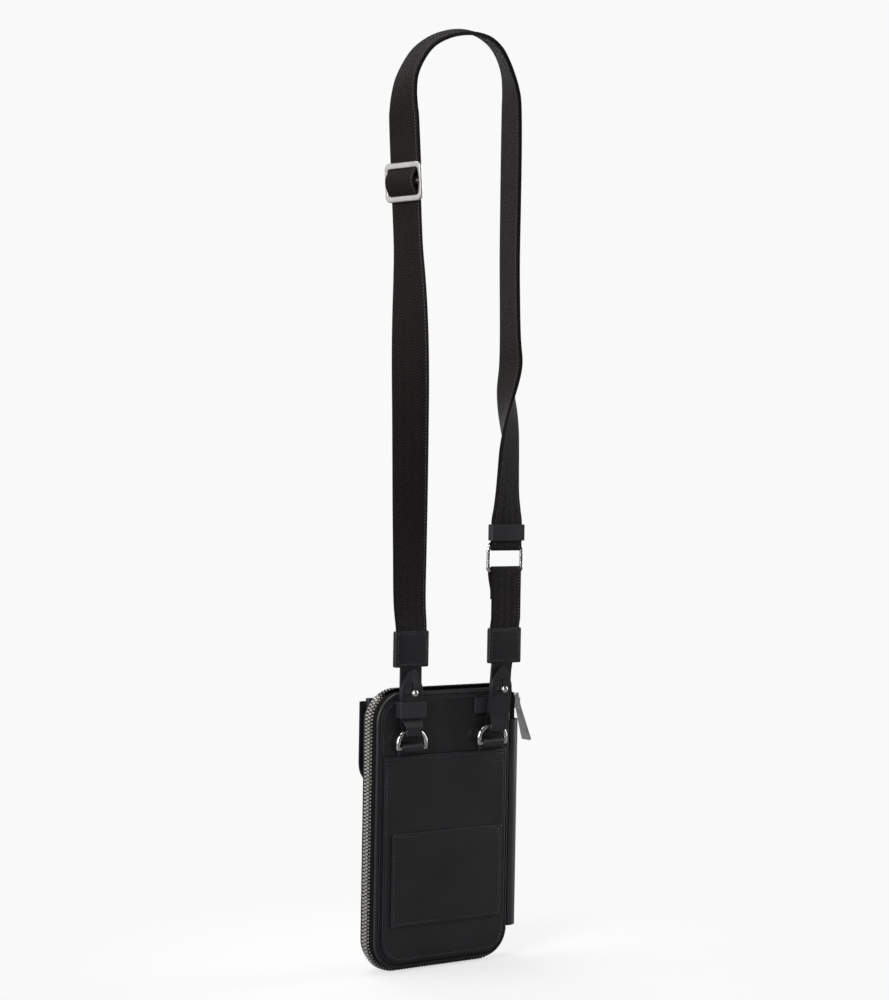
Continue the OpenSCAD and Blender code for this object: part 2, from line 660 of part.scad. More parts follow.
// D-ring: straight bar below, arched wire above
module rod(a, b, r) {
    v = b - a;
    translate(a) rotate([0, acos(v[2] / norm(v)), atan2(v[1], v[0])])
        cylinder(h = norm(v), r = r);
}
bend_r = 8;
module d_ring() {
    hw = dring_w / 2;
    rod([-hw, 0, 0], [hw, 0, 0], wire_r);
    for (s = [-1, 1]) {
        translate([s * hw, 0, 0]) sphere(wire_r);
        translate([s * hw, 0, 0]) cylinder(h = dring_h - bend_r, r = wire_r);
    }
    translate([hw - bend_r, 0, dring_h - bend_r]) rotate([90, 0, 0])
        rotate_extrude(angle = 90) translate([bend_r, 0]) circle(wire_r);
    mirror([1, 0, 0]) translate([hw - bend_r, 0, dring_h - bend_r]) rotate([90, 0, 0])
        rotate_extrude(angle = 90) translate([bend_r, 0]) circle(wire_r);
    rod([bend_r - hw, 0, dring_h], [hw - bend_r, 0, dring_h], wire_r);
}
module d_ring_left() place() color("silver") translate([left_x, wire_y, bar_z]) d_ring();
module d_ring_right() place() color("silver")
    translate([dring_right_x, wire_y, bar_z]) d_ring();

// Strap tab: back layer up into the cap, fold under the D-ring, tongue back up in front
module tab_outline(top, tip) {
    foot = -fold_r - 2 * tab_t - fold_drop_right;
    polygon(concat(
        [[-tab_fold_w / 2, foot], [tab_fold_w / 2, foot], [tab_fold_w / 2, 0],
            [tab_w / 2, taper_h * 0.45]],
        tip ? [[tab_w / 2, top - tip_h], [tab_w * 0.36, top - tip_h * 0.45],
            [tab_w * 0.14, top - tip_h * 0.04], [0, top], [-tab_w * 0.14, top - tip_h * 0.04],
            [-tab_w * 0.36, top - tip_h * 0.45], [-tab_w / 2, top - tip_h]]
        : [[tab_w / 2, top], [-tab_w / 2, top]],
        [[-tab_w / 2, taper_h * 0.45], [-tab_fold_w / 2, 0]]));
}
module strap_tab(drop, bow) {
    fold_z = -wire_r - drop + fold_r;
    top = cap_z0 + tab_entry - arc_z;
    tip = tongue_tip_z - arc_z;
    stud = stud_z - arc_z;
    bow_z1 = keeper_z + keeper_h / 2 - arc_z;
    bow_z2 = tip - tab_t;
    // Back layer
    intersection() {
        yz(2 * tab_w) polygon([[fold_r, fold_z], [fold_r + tab_t, fold_z],
            [fold_r + tab_t, kink_z0], [fold_r + tab_t - bow, kink_z1],
            [fold_r + tab_t - bow, bow_z1], [fold_r + tab_t, bow_z2], [fold_r + tab_t, top],
            [fold_r, top], [fold_r, bow_z2], [fold_r - bow, bow_z1], [fold_r - bow, kink_z1],
            [fold_r, kink_z0]]);
        xz(-cap_h, 2 * cap_h) tab_outline(top, false);
    }
    // Fold and tongue
    difference() {
        intersection() {
            yz(2 * tab_w) {
                difference() {
                    translate([0, fold_z]) circle(fold_r + tab_t);
                    translate([0, fold_z]) circle(fold_r);
                    translate([-tab_w, fold_z]) square([2 * tab_w, tab_w]);
                }
                polygon([[-fold_r - tab_t, fold_z - slip_gap / 2], [-fold_r - tab_t, kink_z0],
                    [fold_r - tab_t - bow, kink_z1], [fold_r - tab_t - bow, bow_z1],
                    [fold_r - tab_t, bow_z2], [fold_r - tab_t, tip], [fold_r, tip],
                    [fold_r, bow_z2], [fold_r - bow, bow_z1], [fold_r - bow, kink_z1],
                    [-fold_r, kink_z0 - tab_t / 3], [-fold_r, fold_z - slip_gap / 2]]);
            }
            xz(-cap_h, 2 * cap_h) tab_outline(tip, true);
        }
        translate([0, -fold_r - 2 * tab_t, stud]) rotate([-90, 0, 0])
            cylinder(h = 3 * fold_r + tab_t, r = stud_neck_r + slip_gap);
        translate([-slit_w / 2, -fold_r - 2 * tab_t, stud])
            cube([slit_w, 3 * fold_r + tab_t, slit_l]);
    }
}
module tab_stud(bow) translate([0, -bow * 0.75, 0]) {
    head_y = fold_r - tab_t - stud_d * 0.45;
    difference() {
        union() {
            translate([0, head_y, 0]) rotate([-90, 0, 0])
                cylinder(h = fold_r - tab_t / 4 - head_y, r = stud_neck_r);
            translate([0, head_y, 0]) sphere(d = stud_d);
        }
        translate([-stud_d / 2, head_y - stud_d, -slip_gap * 3])
            cube([stud_d, stud_d * 0.62, slip_gap * 6]);
    }
}
module tab_right_pose() translate([tab_right_x, wire_y, arc_z]) rotate([0, tab_lean, 0]) children();
module strap_tab_left() place() color("dimgray")
    translate([left_x, wire_y, arc_z]) strap_tab(fold_drop_left, 0);
module strap_tab_right() place() color("dimgray") tab_right_pose() strap_tab(fold_drop_right, tab_bow);
module tab_stud_left() place() color("silver")
    translate([left_x, wire_y, stud_z]) tab_stud(0);
module tab_stud_right() place() color("silver")
    tab_right_pose() translate([0, 0, stud_z - arc_z]) tab_stud(tab_bow);

// Leather end cap: webbing enters from above, the strap tab from below
web_entry = 11;
module end_cap() difference() {
    translate([-cap_w / 2, -tab_t / 2 - cap_wall, 0])
        cube([cap_w, tab_t + 2 * cap_wall, cap_h]);
    translate([-cap_w / 2 + cap_side, -tab_t / 2, -cut])
        cube([cap_w - 2 * cap_side, tab_t, tab_entry + run_gap + cut]);
    translate([-web_w / 2 - run_gap, -web_t / 2 - slip_gap, cap_h - web_entry])
        cube([web_w + 2 * run_gap, web_t + 2 * slip_gap, web_entry + cut]);
}
module strap_end_cap_left() place() color("dimgray")
    translate([left_x, strap_y, cap_z0]) end_cap();
module strap_end_cap_right() place() color("dimgray")
    translate([cap_right_x, strap_y, cap_z0]) end_cap();

// Webbing: the standing layer from the left cap over the arch and round the strap ring
module strap_webbing() place() color("gray") web_sweep(0, route_last, false);
module webbing_return() place() color("gray") web_sweep(return_i0, route_last, true);
module webbing_return_end() place() color("gray") web_sweep(slider_i, return_i0, true);

// Rectangular strap ring
ring_x = route_share[route_last][0] * half_span;
top_bar_z = cap_z1 + route_share[route_last][1] * strap_rise;
ring_y = strap_y + wire_r + slip_gap + web_t / 2;
ring_bend = 2.2;
bar_rise = strap_ring_h - ring_wire_d;
module bent_frame(w, h, b, r) {
    for (m = [0, 1], n = [0, 1]) mirror([m, 0, 0]) mirror([0, 0, n])
        translate([w / 2 - b, 0, h / 2 - b]) rotate([90, 0, 0])
            rotate_extrude(angle = 90) translate([b, 0]) circle(r);
    for (s = [-1, 1]) {
        rod([b - w / 2, 0, s * h / 2], [w / 2 - b, 0, s * h / 2], r);
        rod([s * w / 2, 0, b - h / 2], [s * w / 2, 0, h / 2 - b], r);
    }
}
module strap_ring() place() color("silver")
    translate([ring_x, ring_y, top_bar_z - bar_rise / 2])
        bent_frame(strap_ring_w - ring_wire_d, bar_rise, ring_bend, wire_r);

// Loop of webbing round a bar, seen along X, open upwards or downwards
module bar_loop(up) {
    r0 = wire_r + slip_gap;
    difference() {
        circle(r0 + web_t);
        circle(r0);
        translate([-web_w, up ? 0 : -web_w]) square([2 * web_w, web_w]);
    }
}
// Lower webbing: from the right cap up, over the ring's lower bar and sewn to itself
sewn_z0_share = 0.32;
sewn_z1_share = 0.62;
module lower_webbing() place() color("gray") translate([ring_x, 0, 0]) {
    r0 = wire_r + slip_gap;
    low_bar_z = top_bar_z - bar_rise;
    lap = low_bar_z - cap_z1;
    foot = cap_z1 - web_entry;
    yz(web_w) {
        translate([strap_y - web_t / 2, cap_z1]) square([web_t, low_bar_z - cap_z1]);
        translate([ring_y, low_bar_z]) bar_loop(false);
        polygon([[ring_y + r0, low_bar_z], [ring_y + r0 + web_t, low_bar_z],
            [strap_y + web_t * 1.5, cap_z1 + lap * sewn_z1_share],
            [strap_y + web_t * 1.5, cap_z1 + lap * sewn_z0_share],
            [strap_y + web_t / 2, cap_z1 + lap * sewn_z0_share],
            [strap_y + web_t / 2, cap_z1 + lap * (sewn_z1_share + slip_gap / 2)]]);
    }
    translate([cap_right_x - ring_x, 0, 0]) yz(web_w)
        translate([strap_y - web_t / 2, foot]) square([web_t, web_entry]);
}
// Leather keeper round both layers, above the ring
strap_keeper_h = 11.2;
strap_keeper_share = 0.1625;
module strap_keeper() place() color("dimgray") {
    w = web_w + 2 * slip_gap;
    d = web_t + layer_gap + 2 * run_gap;
    z = cap_z1 + strap_keeper_share * strap_rise;
    translate([ring_x, strap_y - web_t / 2 - run_gap + d / 2, z]) difference() {
        cube([w + 2 * cap_wall, d + 2 * cap_wall, strap_keeper_h], center = true);
        cube([w, d, strap_keeper_h + 2 * cut], center = true);
    }
}

// Length slider: a three-bar frame outside the standing layer
slider_at = web_frame(slider_i);
slider_t = 2.4;
rail_w = 2.6;
core_r = 1.2;
slider_out = web_t / 2 + run_gap;
module on_slider() {
    t = along(slider_i);
    translate(slider_at[0]) rotate([0, atan2(t[0], t[1]), 0])
        rotate([0, 0, route_share[slider_i][2]]) children();
}
// The hub's centre line stands this far outside the webbing
hub_n = slider_out + slider_t;
module length_slider() place() color("silver") on_slider() {
    translate([0, -slider_out - slider_t / 2, 0]) difference() {
        cube([slider_w, slider_t, slider_h], center = true);
        cube([slider_w - 2 * rail_w, slider_t + 2 * cut, slider_h - 2 * slider_bar], center = true);
    }
    rod([-slider_w / 2 + core_r, -hub_n, 0], [slider_w / 2 - core_r, -hub_n, 0], core_r);
}
// Sewn end of the webbing round the slider's centre bar
module slider_bar_loop() place() color("gray") on_slider()
    translate([0, -hub_n, 0]) rotate([0, 90, 0]) difference() {
        cylinder(h = web_w, r = core_r + web_t, center = true);
        cylinder(h = web_w + 2 * cut, r = core_r, center = true);
    }
// The standing layer where it humps over the centre bar
hump_rise = hub_n + core_r + web_t + slip_gap + web_t - slider_out;
hump_half = slider_h / 2 - slider_bar - run_gap;
hump_r = (hump_half * hump_half + hump_rise * hump_rise) / (2 * hump_rise);
module slider_webbing() place() color("gray") on_slider()
    translate([0, -slider_out - hump_rise + hump_r, 0]) rotate([0, 90, 0])
        linear_extrude(web_w, center = true) intersection() {
            difference() {
                circle(hump_r);
                circle(hump_r - web_t);
            }
            translate([-hump_half, -hump_r - cut])
                square([2 * hump_half, hump_rise + cut]);
        }

strap_webbing();
webbing_return();
webbing_return_end();
strap_end_cap_left();
strap_end_cap_right();
strap_tab_left();
strap_tab_right();
tab_stud_left();
tab_stud_right();
strap_keeper();
strap_ring();
lower_webbing();
length_slider();
slider_webbing();
slider_bar_loop();
d_ring_left();
d_ring_right();
back_panel();
back_rim();
back_slip_pocket();
card_pocket();
keeper_left();
keeper_right();
ring_tab_left();
ring_tab_right();
spine();
back_tape();
back_teeth();
corner_tape();
corner_teeth();
back_board();
back_lining();
phone_pocket();
zip_slider();
zip_pull();
front_panel();
front_rim();
front_tape();
front_teeth();
front_pocket();
front_board();
front_lining();
card_slots();
flap_anchor();
snap_base();
front_flap();
snap_cap();
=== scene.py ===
# %% [markdown]
# # A phone pouch on a webbing strap
# The real object is a zip-around leather case that hangs on a loop of woven webbing.
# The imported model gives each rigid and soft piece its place. Here the soft pieces are
# made again as leather and cloth, and every piece gets its finish.

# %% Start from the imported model
import math

import bmesh
import bpy
import numpy as np
from mathutils import Matrix, Vector, noise


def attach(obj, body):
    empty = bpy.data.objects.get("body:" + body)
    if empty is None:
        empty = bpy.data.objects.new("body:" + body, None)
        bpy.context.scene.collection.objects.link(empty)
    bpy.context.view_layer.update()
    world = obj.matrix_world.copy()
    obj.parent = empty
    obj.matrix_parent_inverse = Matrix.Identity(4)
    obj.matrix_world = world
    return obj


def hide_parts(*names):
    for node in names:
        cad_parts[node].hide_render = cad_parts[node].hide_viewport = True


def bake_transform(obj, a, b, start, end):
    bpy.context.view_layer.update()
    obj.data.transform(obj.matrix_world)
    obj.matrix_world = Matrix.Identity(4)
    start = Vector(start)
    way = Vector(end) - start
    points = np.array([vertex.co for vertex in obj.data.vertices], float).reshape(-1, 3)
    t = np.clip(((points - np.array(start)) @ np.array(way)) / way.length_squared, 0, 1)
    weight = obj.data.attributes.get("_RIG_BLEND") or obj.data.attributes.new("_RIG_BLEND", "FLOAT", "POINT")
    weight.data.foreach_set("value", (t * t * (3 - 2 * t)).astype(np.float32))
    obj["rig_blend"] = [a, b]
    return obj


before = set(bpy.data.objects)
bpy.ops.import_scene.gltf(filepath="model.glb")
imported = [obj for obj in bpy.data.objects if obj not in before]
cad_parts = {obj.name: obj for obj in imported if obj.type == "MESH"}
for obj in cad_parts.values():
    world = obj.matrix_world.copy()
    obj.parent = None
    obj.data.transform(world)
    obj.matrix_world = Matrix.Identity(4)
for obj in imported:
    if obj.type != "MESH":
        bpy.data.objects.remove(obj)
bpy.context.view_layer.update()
bpy.ops.object.select_all(action="DESELECT")
print("pieces in the packed model:", len(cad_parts))

# %% [markdown]
# ## Where things are
# The pouch was measured in millimetres from the middle of its back panel, with its lowest
# tooth at height zero. The model hangs from the top of its strap, so one helper turns a
# place on the pouch into a place in the scene.

# %% From the pouch's millimetres to the scene's metres
HANG = (6.48611, -10.5392, 630.789)


def here(x, y, z):
    """A place on the pouch in millimetres, as a place in the scene in metres."""
    return Vector(((x - HANG[0]) / 1000, (y - HANG[1]) / 1000, (z - HANG[2]) / 1000))


FACE_Y = -9.0
PANEL_X = 53.0
PANEL_Z0, PANEL_Z1 = 5.15, 185.15
PANEL_R = 17.0
STRAP_Y = -11.2
print("top of the strap", here(*HANG))

# %% [markdown]
# ## Camera
# The photograph looks at the pouch's back from its left, from 1.6 m away and almost
# level, turned by 36 degrees and tipped by one. The lens is a long one, so the strap's
# two sides stay nearly parallel.

# %% The photographer's place
YAW, PITCH, ROLL = (math.radians(a) for a in (36.30, -0.88, 0.97))
AIM_X, AIM_Z, DISTANCE = 2.0, 317.0, 1596.0
FOCAL_PX, PHOTO_H = 2344.0, 1000.0
SENSOR = 24.0

ahead = Vector((math.sin(YAW) * math.cos(PITCH), math.cos(YAW) * math.cos(PITCH), math.sin(PITCH)))
right = Vector((math.cos(YAW), -math.sin(YAW), 0))
up = right.cross(ahead)
right_t = right * math.cos(ROLL) + up * math.sin(ROLL)
up_t = up * math.cos(ROLL) - right * math.sin(ROLL)
eye = Vector((0, 0, AIM_Z)) + right * AIM_X - ahead * DISTANCE

camera_data = bpy.data.cameras.new("camera")
camera_data.sensor_fit = "VERTICAL"
camera_data.sensor_height = SENSOR
camera_data.lens = FOCAL_PX / PHOTO_H * SENSOR
camera_data.clip_end = 50
camera = bpy.data.objects.new("camera", camera_data)
bpy.context.scene.collection.objects.link(camera)
turn = Matrix((right_t, up_t, -ahead)).transposed().to_4x4()
camera.matrix_world = Matrix.Translation(here(*eye)) @ turn
bpy.context.scene.camera = camera
print("lens", round(camera_data.lens, 2), "mm")

# %% [markdown]
# ## Making shapes
# Leather and webbing are sheets, so two helpers make nearly everything. One lofts a skin
# through rings of points, as for a strap that twists or an edge that runs round a panel.
# The other lays a sheet with rounded corners in rings that follow its outline, so that a
# stitch line and a turned edge can be pressed into it.


# %% A piece from its points and faces
def new_piece(name, points, faces, body, finishes, uvs=None, sides=()):
    """A mesh from points in pouch millimetres. uvs are in metres, one for each point, and
    sides are the faces that take the second finish."""
    mesh = bpy.data.meshes.new(name)
    mesh.from_pydata([here(*p) for p in points], [], faces)
    for finish in finishes:
        mesh.materials.append(finish)
    for i in sides:
        mesh.polygons[i].material_index = 1
    if uvs is not None:
        layer = mesh.uv_layers.new(name="cloth")
        for loop in mesh.loops:
            layer.data[loop.index].uv = uvs[loop.vertex_index]
    mesh.validate()
    piece = bpy.data.objects.new(name, mesh)
    bpy.context.scene.collection.objects.link(piece)
    tidy_mesh(piece)
    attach(piece, body)
    return piece


def tidy_mesh(piece, angle=38, merge=1e-6):
    """Closes doubled points, turns the faces outwards and smooths all but sharp edges."""
    shape = bmesh.new()
    shape.from_mesh(piece.data)
    bmesh.ops.remove_doubles(shape, verts=shape.verts, dist=merge)
    bmesh.ops.recalc_face_normals(shape, faces=shape.faces)
    shape.to_mesh(piece.data)
    shape.free()
    bpy.ops.object.select_all(action="DESELECT")
    piece.select_set(True)
    bpy.context.view_layer.objects.active = piece
    bpy.ops.object.shade_smooth_by_angle(angle=math.radians(angle))
    bpy.ops.object.select_all(action="DESELECT")


# %% A skin lofted through rings of points
def loft(name, rings, body, finish, across, closed=False):
    """A tube of skin through rings, each a list of (x, y, z). across gives each point's
    place round the ring in metres, for the cloth's weave."""
    n, m = len(rings), len(rings[0])
    middles = [np.mean(ring, axis=0) for ring in rings]
    along = [0.0]
    for a, b in zip(middles, middles[1:]):
        along.append(along[-1] + float(np.linalg.norm(b - a)) / 1000)
    points = [tuple(p) for ring in rings for p in ring]
    uvs = [(across[j], along[i]) for i in range(n) for j in range(m)]
    faces = []
    for i in range(n if closed else n - 1):
        k = (i + 1) % n
        for j in range(m):
            l = (j + 1) % m
            faces.append((i * m + j, i * m + l, k * m + l, k * m + j))
    if not closed:
        faces.append(tuple(range(m)))
        faces.append(tuple((n - 1) * m + j for j in range(m)))
    return new_piece(name, points, faces, body, [finish], uvs)


def strip_section(half_w, half_t, edge, across=8):
    """The outline of a strap's end, as (across, through), with eased edges."""
    edge = min(edge, half_t * 0.95)
    flat = [(-half_w + edge) + (2 * half_w - 2 * edge) * j / across for j in range(across + 1)]
    ease = edge * 0.3
    top = [(-half_w, half_t - edge), (-half_w + ease, half_t - ease)]
    top += [(a, half_t) for a in flat]
    top += [(half_w - ease, half_t - ease), (half_w, half_t - edge)]
    return top + [(-a, -b) for a, b in top]


def strap_piece(name, places, thick, body, finish, edge=0.4, across=8, closed=False):
    """A strap through places: (centre, direction across, direction through, half width)."""
    rings = []
    for centre, wide, through, half_w in places:
        section = strip_section(half_w, thick / 2, edge, across)
        rings.append([np.array(centre) + a * np.array(wide) + b * np.array(through) for a, b in section])
    widest = max(p[3] for p in places)
    across_m = [a / 1000 for a, b in strip_section(widest, thick / 2, edge, across)]
    return loft(name, rings, body, finish, across_m, closed)


# %% A sheet with rounded corners
INSETS = (0, 0.12, 0.35, 0.7, 1.1, 1.5, 1.8, 2.1, 2.4, 2.7, 3.1, 3.7, 4.8, 6.5, 9, 12.5)


def outline_ring(box, radii, inset, nx, nz, turns=7):
    """Points round the outline, moved in by inset: (x, z) pairs."""
    x0, z0, x1, z1 = box
    corners = [(x0, z0, 1, 1, 180), (x1, z0, -1, 1, 270), (x1, z1, -1, -1, 0), (x0, z1, 1, -1, 90)]
    arcs = []
    for (x, z, sx, sz, start), r in zip(corners, radii):
        reach, bend = max(r, inset), max(r - inset, 0)
        cx, cz = x + sx * reach, z + sz * reach
        arcs.append([(cx + bend * math.cos(math.radians(start + 90 * t / turns)),
                      cz + bend * math.sin(math.radians(start + 90 * t / turns)))
                      for t in range(turns + 1)])
    ring = []
    for i, n in zip(range(4), (nx, nz, nx, nz)):
        a, b = arcs[i][-1], arcs[(i + 1) % 4][0]
        ring += arcs[i]
        ring += [(a[0] + (b[0] - a[0]) * k / n, a[1] + (b[1] - a[1]) * k / n) for k in range(1, n)]
    return ring


def sheet_skin(box, radii, cell):
    """Points and faces of a flat sheet, with each point's distance from the edge."""
    x0, z0, x1, z1 = box
    deep = min(max(max(radii), 4.0), (x1 - x0) / 2 - 0.5, (z1 - z0) / 2 - 0.5)
    insets = [d for d in INSETS if d < deep - 0.3] + [deep]
    nx = max(2, round((x1 - x0 - 2 * deep) / cell))
    nz = max(2, round((z1 - z0 - 2 * deep) / cell))
    flat, faces = [], []
    for d in insets:
        flat += [(x, z, d) for x, z in outline_ring(box, radii, d, nx, nz)]
    m = len(flat) // len(insets)
    for i in range(len(insets) - 1):
        for j in range(m):
            l = (j + 1) % m
            faces.append((i * m + j, i * m + l, (i + 1) * m + l, (i + 1) * m + j))
    start = len(flat)
    for k in range(nz + 1):
        for i in range(nx + 1):
            x = x0 + deep + (x1 - x0 - 2 * deep) * i / nx
            z = z0 + deep + (z1 - z0 - 2 * deep) * k / nz
            flat.append((x, z, min(x - x0, x1 - x, z - z0, z1 - z)))
    for k in range(nz):
        for i in range(nx):
            a = start + k * (nx + 1) + i
            faces.append((a, a + 1, a + nx + 2, a + nx + 1))
    return flat, faces, m


# %% A leather sheet with relief
def turned_edge(d, ease):
    """How far a leather sheet's face falls away over its outer edge."""
    return -ease * (1 - min(d / (2 * ease), 1)) ** 2


def pressed_seam(d, seam, depth=0.22, wide=0.55):
    """The valley that a row of stitches presses into leather."""
    return -depth * math.exp(-(((d - seam) / wide) ** 2))


def hand_waver(x, z, seed, size=26.0):
    """The slight unevenness of a hand-laid skin, between -1 and 1."""
    return noise.noise(Vector((x / size, z / size, seed)))


def leather_sheet(name, box, radii, back_y, thick, out, body, finishes, relief,
                  back_relief=None, cell=5.0):
    """A sheet standing in the XZ plane. out is -1 or 1, the way its face looks along Y."""
    flat, faces, m = sheet_skin(box, radii, cell)
    n = len(flat)
    fronts = [(x, back_y + out * (thick + relief(d, x, z)), z) for x, z, d in flat]
    back = back_relief or (lambda d, x, z: 0.0)
    backs = [(x, back_y - out * back(d, x, z), z) for x, z, d in flat]
    skin = list(faces) + [tuple(n + i for i in reversed(f)) for f in faces]
    first_side = len(skin)
    skin += [(j, n + j, n + (j + 1) % m, (j + 1) % m) for j in range(m)]
    uvs = [(x / 1000, z / 1000) for x, z, d in flat] * 2
    return new_piece(name, fronts + backs, skin, body, finishes, uvs, range(first_side, len(skin)))


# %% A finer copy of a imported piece
def eased_copy(node, name, body, finish, ease=0.25, angle=35):
    """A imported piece's shape, cleaned of its loose triangles, with its edges eased."""
    piece = bpy.data.objects.new(name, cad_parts[node].data.copy())
    piece.data.materials.clear()
    piece.data.materials.append(finish)
    bpy.context.scene.collection.objects.link(piece)
    shape = bmesh.new()
    shape.from_mesh(piece.data)
    bmesh.ops.remove_doubles(shape, verts=shape.verts, dist=2e-6)
    bmesh.ops.dissolve_limit(shape, angle_limit=math.radians(1), verts=shape.verts, edges=shape.edges)
    bmesh.ops.recalc_face_normals(shape, faces=shape.faces)
    shape.to_mesh(piece.data)
    shape.free()
    if ease:
        bevel = piece.modifiers.new("eased", "BEVEL")
        bevel.width = ease / 1000
        bevel.segments = 2
        bevel.limit_method = "ANGLE"
        bevel.angle_limit = math.radians(angle)
        bpy.context.view_layer.objects.active = piece
        bpy.ops.object.modifier_apply(modifier="eased")
    tidy_mesh(piece, 30, 1e-7)
    flatten = piece.modifiers.new("flat faces", "WEIGHTED_NORMAL")
    flatten.keep_sharp = True
    bpy.context.view_layer.objects.active = piece
    bpy.ops.object.modifier_apply(modifier="flat faces")
    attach(piece, body)
    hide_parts(node)
    return piece


# %% Rows of stitches
def stitch_row(name, route, pitch, body, finish, long=1.75, fat=0.6, high=0.55, slant=7):
    """Stitches along a route of (place, direction out of the leather)."""
    places = [np.array(p, float) for p, _ in route]
    outs = [np.array(o, float) for _, o in route]
    run = [0.0]
    for a, b in zip(places, places[1:]):
        run.append(run[-1] + float(np.linalg.norm(b - a)))
    count = max(2, round(run[-1] / pitch))
    points, faces = [], []
    for i in range(count):
        s = run[-1] * (i + 0.5) / count
        k = max(j for j in range(len(run)) if run[j] <= s)
        k = min(k, len(run) - 2)
        t = (s - run[k]) / max(run[k + 1] - run[k], 1e-9)
        centre = places[k] * (1 - t) + places[k + 1] * t
        along = places[k + 1] - places[k]
        along = along / np.linalg.norm(along)
        out = outs[k] * (1 - t) + outs[k + 1] * t
        out = out / np.linalg.norm(out)
        side = np.cross(out, along)
        lean = math.radians(slant)
        along, side = (along * math.cos(lean) + side * math.sin(lean),
                       side * math.cos(lean) - along * math.sin(lean))
        base = len(points)
        stations = ((-0.5, 0.35), (-0.3, 0.9), (0.0, 1.0), (0.3, 0.9), (0.5, 0.35))
        for where, size in stations:
            for q in range(6):
                a = math.pi * q / 3
                points.append(tuple(centre + along * long * where + side * math.cos(a) * fat / 2 * size
                                    + out * (math.sin(a) * high / 2 * size - high * 0.2 * (where * 2) ** 2)))
        for r in range(len(stations) - 1):
            for q in range(6):
                w = (q + 1) % 6
                faces.append((base + 6 * r + q, base + 6 * r + w, base + 6 * r + 6 + w,
                              base + 6 * r + 6 + q))
        faces.append(tuple(base + q for q in range(6)))
        faces.append(tuple(base + 6 * (len(stations) - 1) + q for q in range(6)))
    return new_piece(name, points, faces, body, [finish])


def edge_route(box, radii, inset, y, out, parts=("b", "r", "t", "l"), turns=8):
    """A stitch line round a sheet at a distance from its edge, open where parts is short."""
    ring = outline_ring(box, radii, inset, 12, 20, turns)
    side_of = []
    for name, n in zip(("b", "r", "t", "l"), (12, 20, 12, 20)):
        side_of += [name] * (turns + n)
    return [((x, y, z), (0, out, 0)) for (x, z), s in zip(ring, side_of) if s in parts]


# %% [markdown]
# ## Finishes
# A colour is written as it looks on a screen. The lamps are set so that it renders about
# as it is written.


# %% Colours and shader nodes
def colour(hex_value):
    """A screen colour such as 1c1c1e as the linear numbers that a shader takes."""
    parts = [int(hex_value[i:i + 2], 16) / 255 for i in (0, 2, 4)]
    return tuple(p / 12.92 if p <= 0.04045 else ((p + 0.055) / 1.055) ** 2.4 for p in parts) + (1.0,)


def add(finish, kind, sockets=None, **settings):
    """Adds a node with its settings, and links or sets its sockets."""
    made = finish.node_tree.nodes.new(kind)
    for name, value in settings.items():
        setattr(made, name, value)
    for name, value in (sockets or {}).items():
        if isinstance(value, bpy.types.NodeSocket):
            finish.node_tree.links.new(value, made.inputs[name])
        else:
            made.inputs[name].default_value = value
    return made


def new_finish(name, **sockets):
    """A material with its main shader, whose plain sockets are set here."""
    finish = bpy.data.materials.new(name)
    finish.use_nodes = True
    shader = finish.node_tree.nodes["Principled BSDF"]
    for socket, value in sockets.items():
        shader.inputs[socket.replace("_", " ")].default_value = value
    return finish, shader


def plug(finish, shader, socket, output):
    finish.node_tree.links.new(output, shader.inputs[socket])


def ramp(finish, factor, stops):
    """A colour ramp through (place, colour) stops."""
    made = add(finish, "ShaderNodeValToRGB", {"Fac": factor})
    while len(made.color_ramp.elements) < len(stops):
        made.color_ramp.elements.new(0.5)
    for element, (place, value) in zip(made.color_ramp.elements, stops):
        element.position = place
        element.color = value if len(value) == 4 else (*value, 1)
    return made.outputs["Color"]


def grey(v):
    return (v, v, v, 1)


# %% [markdown]
# ### Smooth calf leather
# Calf leather that is dyed through and given a satin coat. Its pebble grain is 0.5 to
# 0.9 mm across and very low, so it gives a broad soft sheen and no sparkle. It is paler
# on its sharp edges, partly from rub wear and partly as painted sheen.


# %% Leather
def leather_finish(name, dark, light, rough):
    finish, shader = new_finish(name, Specular_IOR_Level=0.42, Coat_Weight=0.12, Coat_Roughness=0.22)
    place = add(finish, "ShaderNodeTexCoord").outputs["Object"]
    cells = add(finish, "ShaderNodeTexVoronoi", {"Vector": place, "Scale": 1000 / 0.75, "Randomness": 1.0},
                feature="DISTANCE_TO_EDGE")
    pores = add(finish, "ShaderNodeTexNoise",
                {"Vector": place, "Scale": 1000 / 0.35, "Detail": 3.0, "Roughness": 0.6})
    cloud = add(finish, "ShaderNodeTexNoise",
                {"Vector": place, "Scale": 1000 / 42, "Detail": 4.0, "Roughness": 0.55})
    tone = ramp(finish, cloud.outputs["Fac"], [(0.3, colour(dark)), (0.72, colour(light))])
    crease = ramp(finish, cells.outputs["Distance"], [(0.0, grey(0.72)), (0.16, grey(1.0))])
    grain = add(finish, "ShaderNodeMix", {"Factor": 0.55, 6: tone, 7: crease}, data_type="RGBA",
                blend_type="MULTIPLY")
    # Rub wear and painted sheen: sharp edges are mixed towards a paler grey (4a4a4e).
    wear_and_sheen_edges = add(finish, "ShaderNodeNewGeometry").outputs["Pointiness"]
    rub_and_sheen = ramp(finish, wear_and_sheen_edges, [(0.52, grey(0.0)), (0.62, grey(0.5))])
    edged = add(finish, "ShaderNodeMix", {"Factor": rub_and_sheen, 6: grain.outputs[2], 7: colour("4a4a4e")},
                data_type="RGBA")
    plug(finish, shader, "Base Color", edged.outputs[2])
    gloss = ramp(finish, cloud.outputs["Fac"], [(0.3, grey(rough - 0.06)), (0.75, grey(rough + 0.08))])
    plug(finish, shader, "Roughness", gloss)
    low = add(finish, "ShaderNodeBump",
              {"Height": cells.outputs["Distance"], "Strength": 0.35, "Distance": 0.00012})
    fine = add(finish, "ShaderNodeBump", {"Height": pores.outputs["Fac"], "Normal": low.outputs["Normal"],
                                          "Strength": 0.22, "Distance": 0.00006})
    plug(finish, shader, "Normal", fine.outputs["Normal"])
    return finish


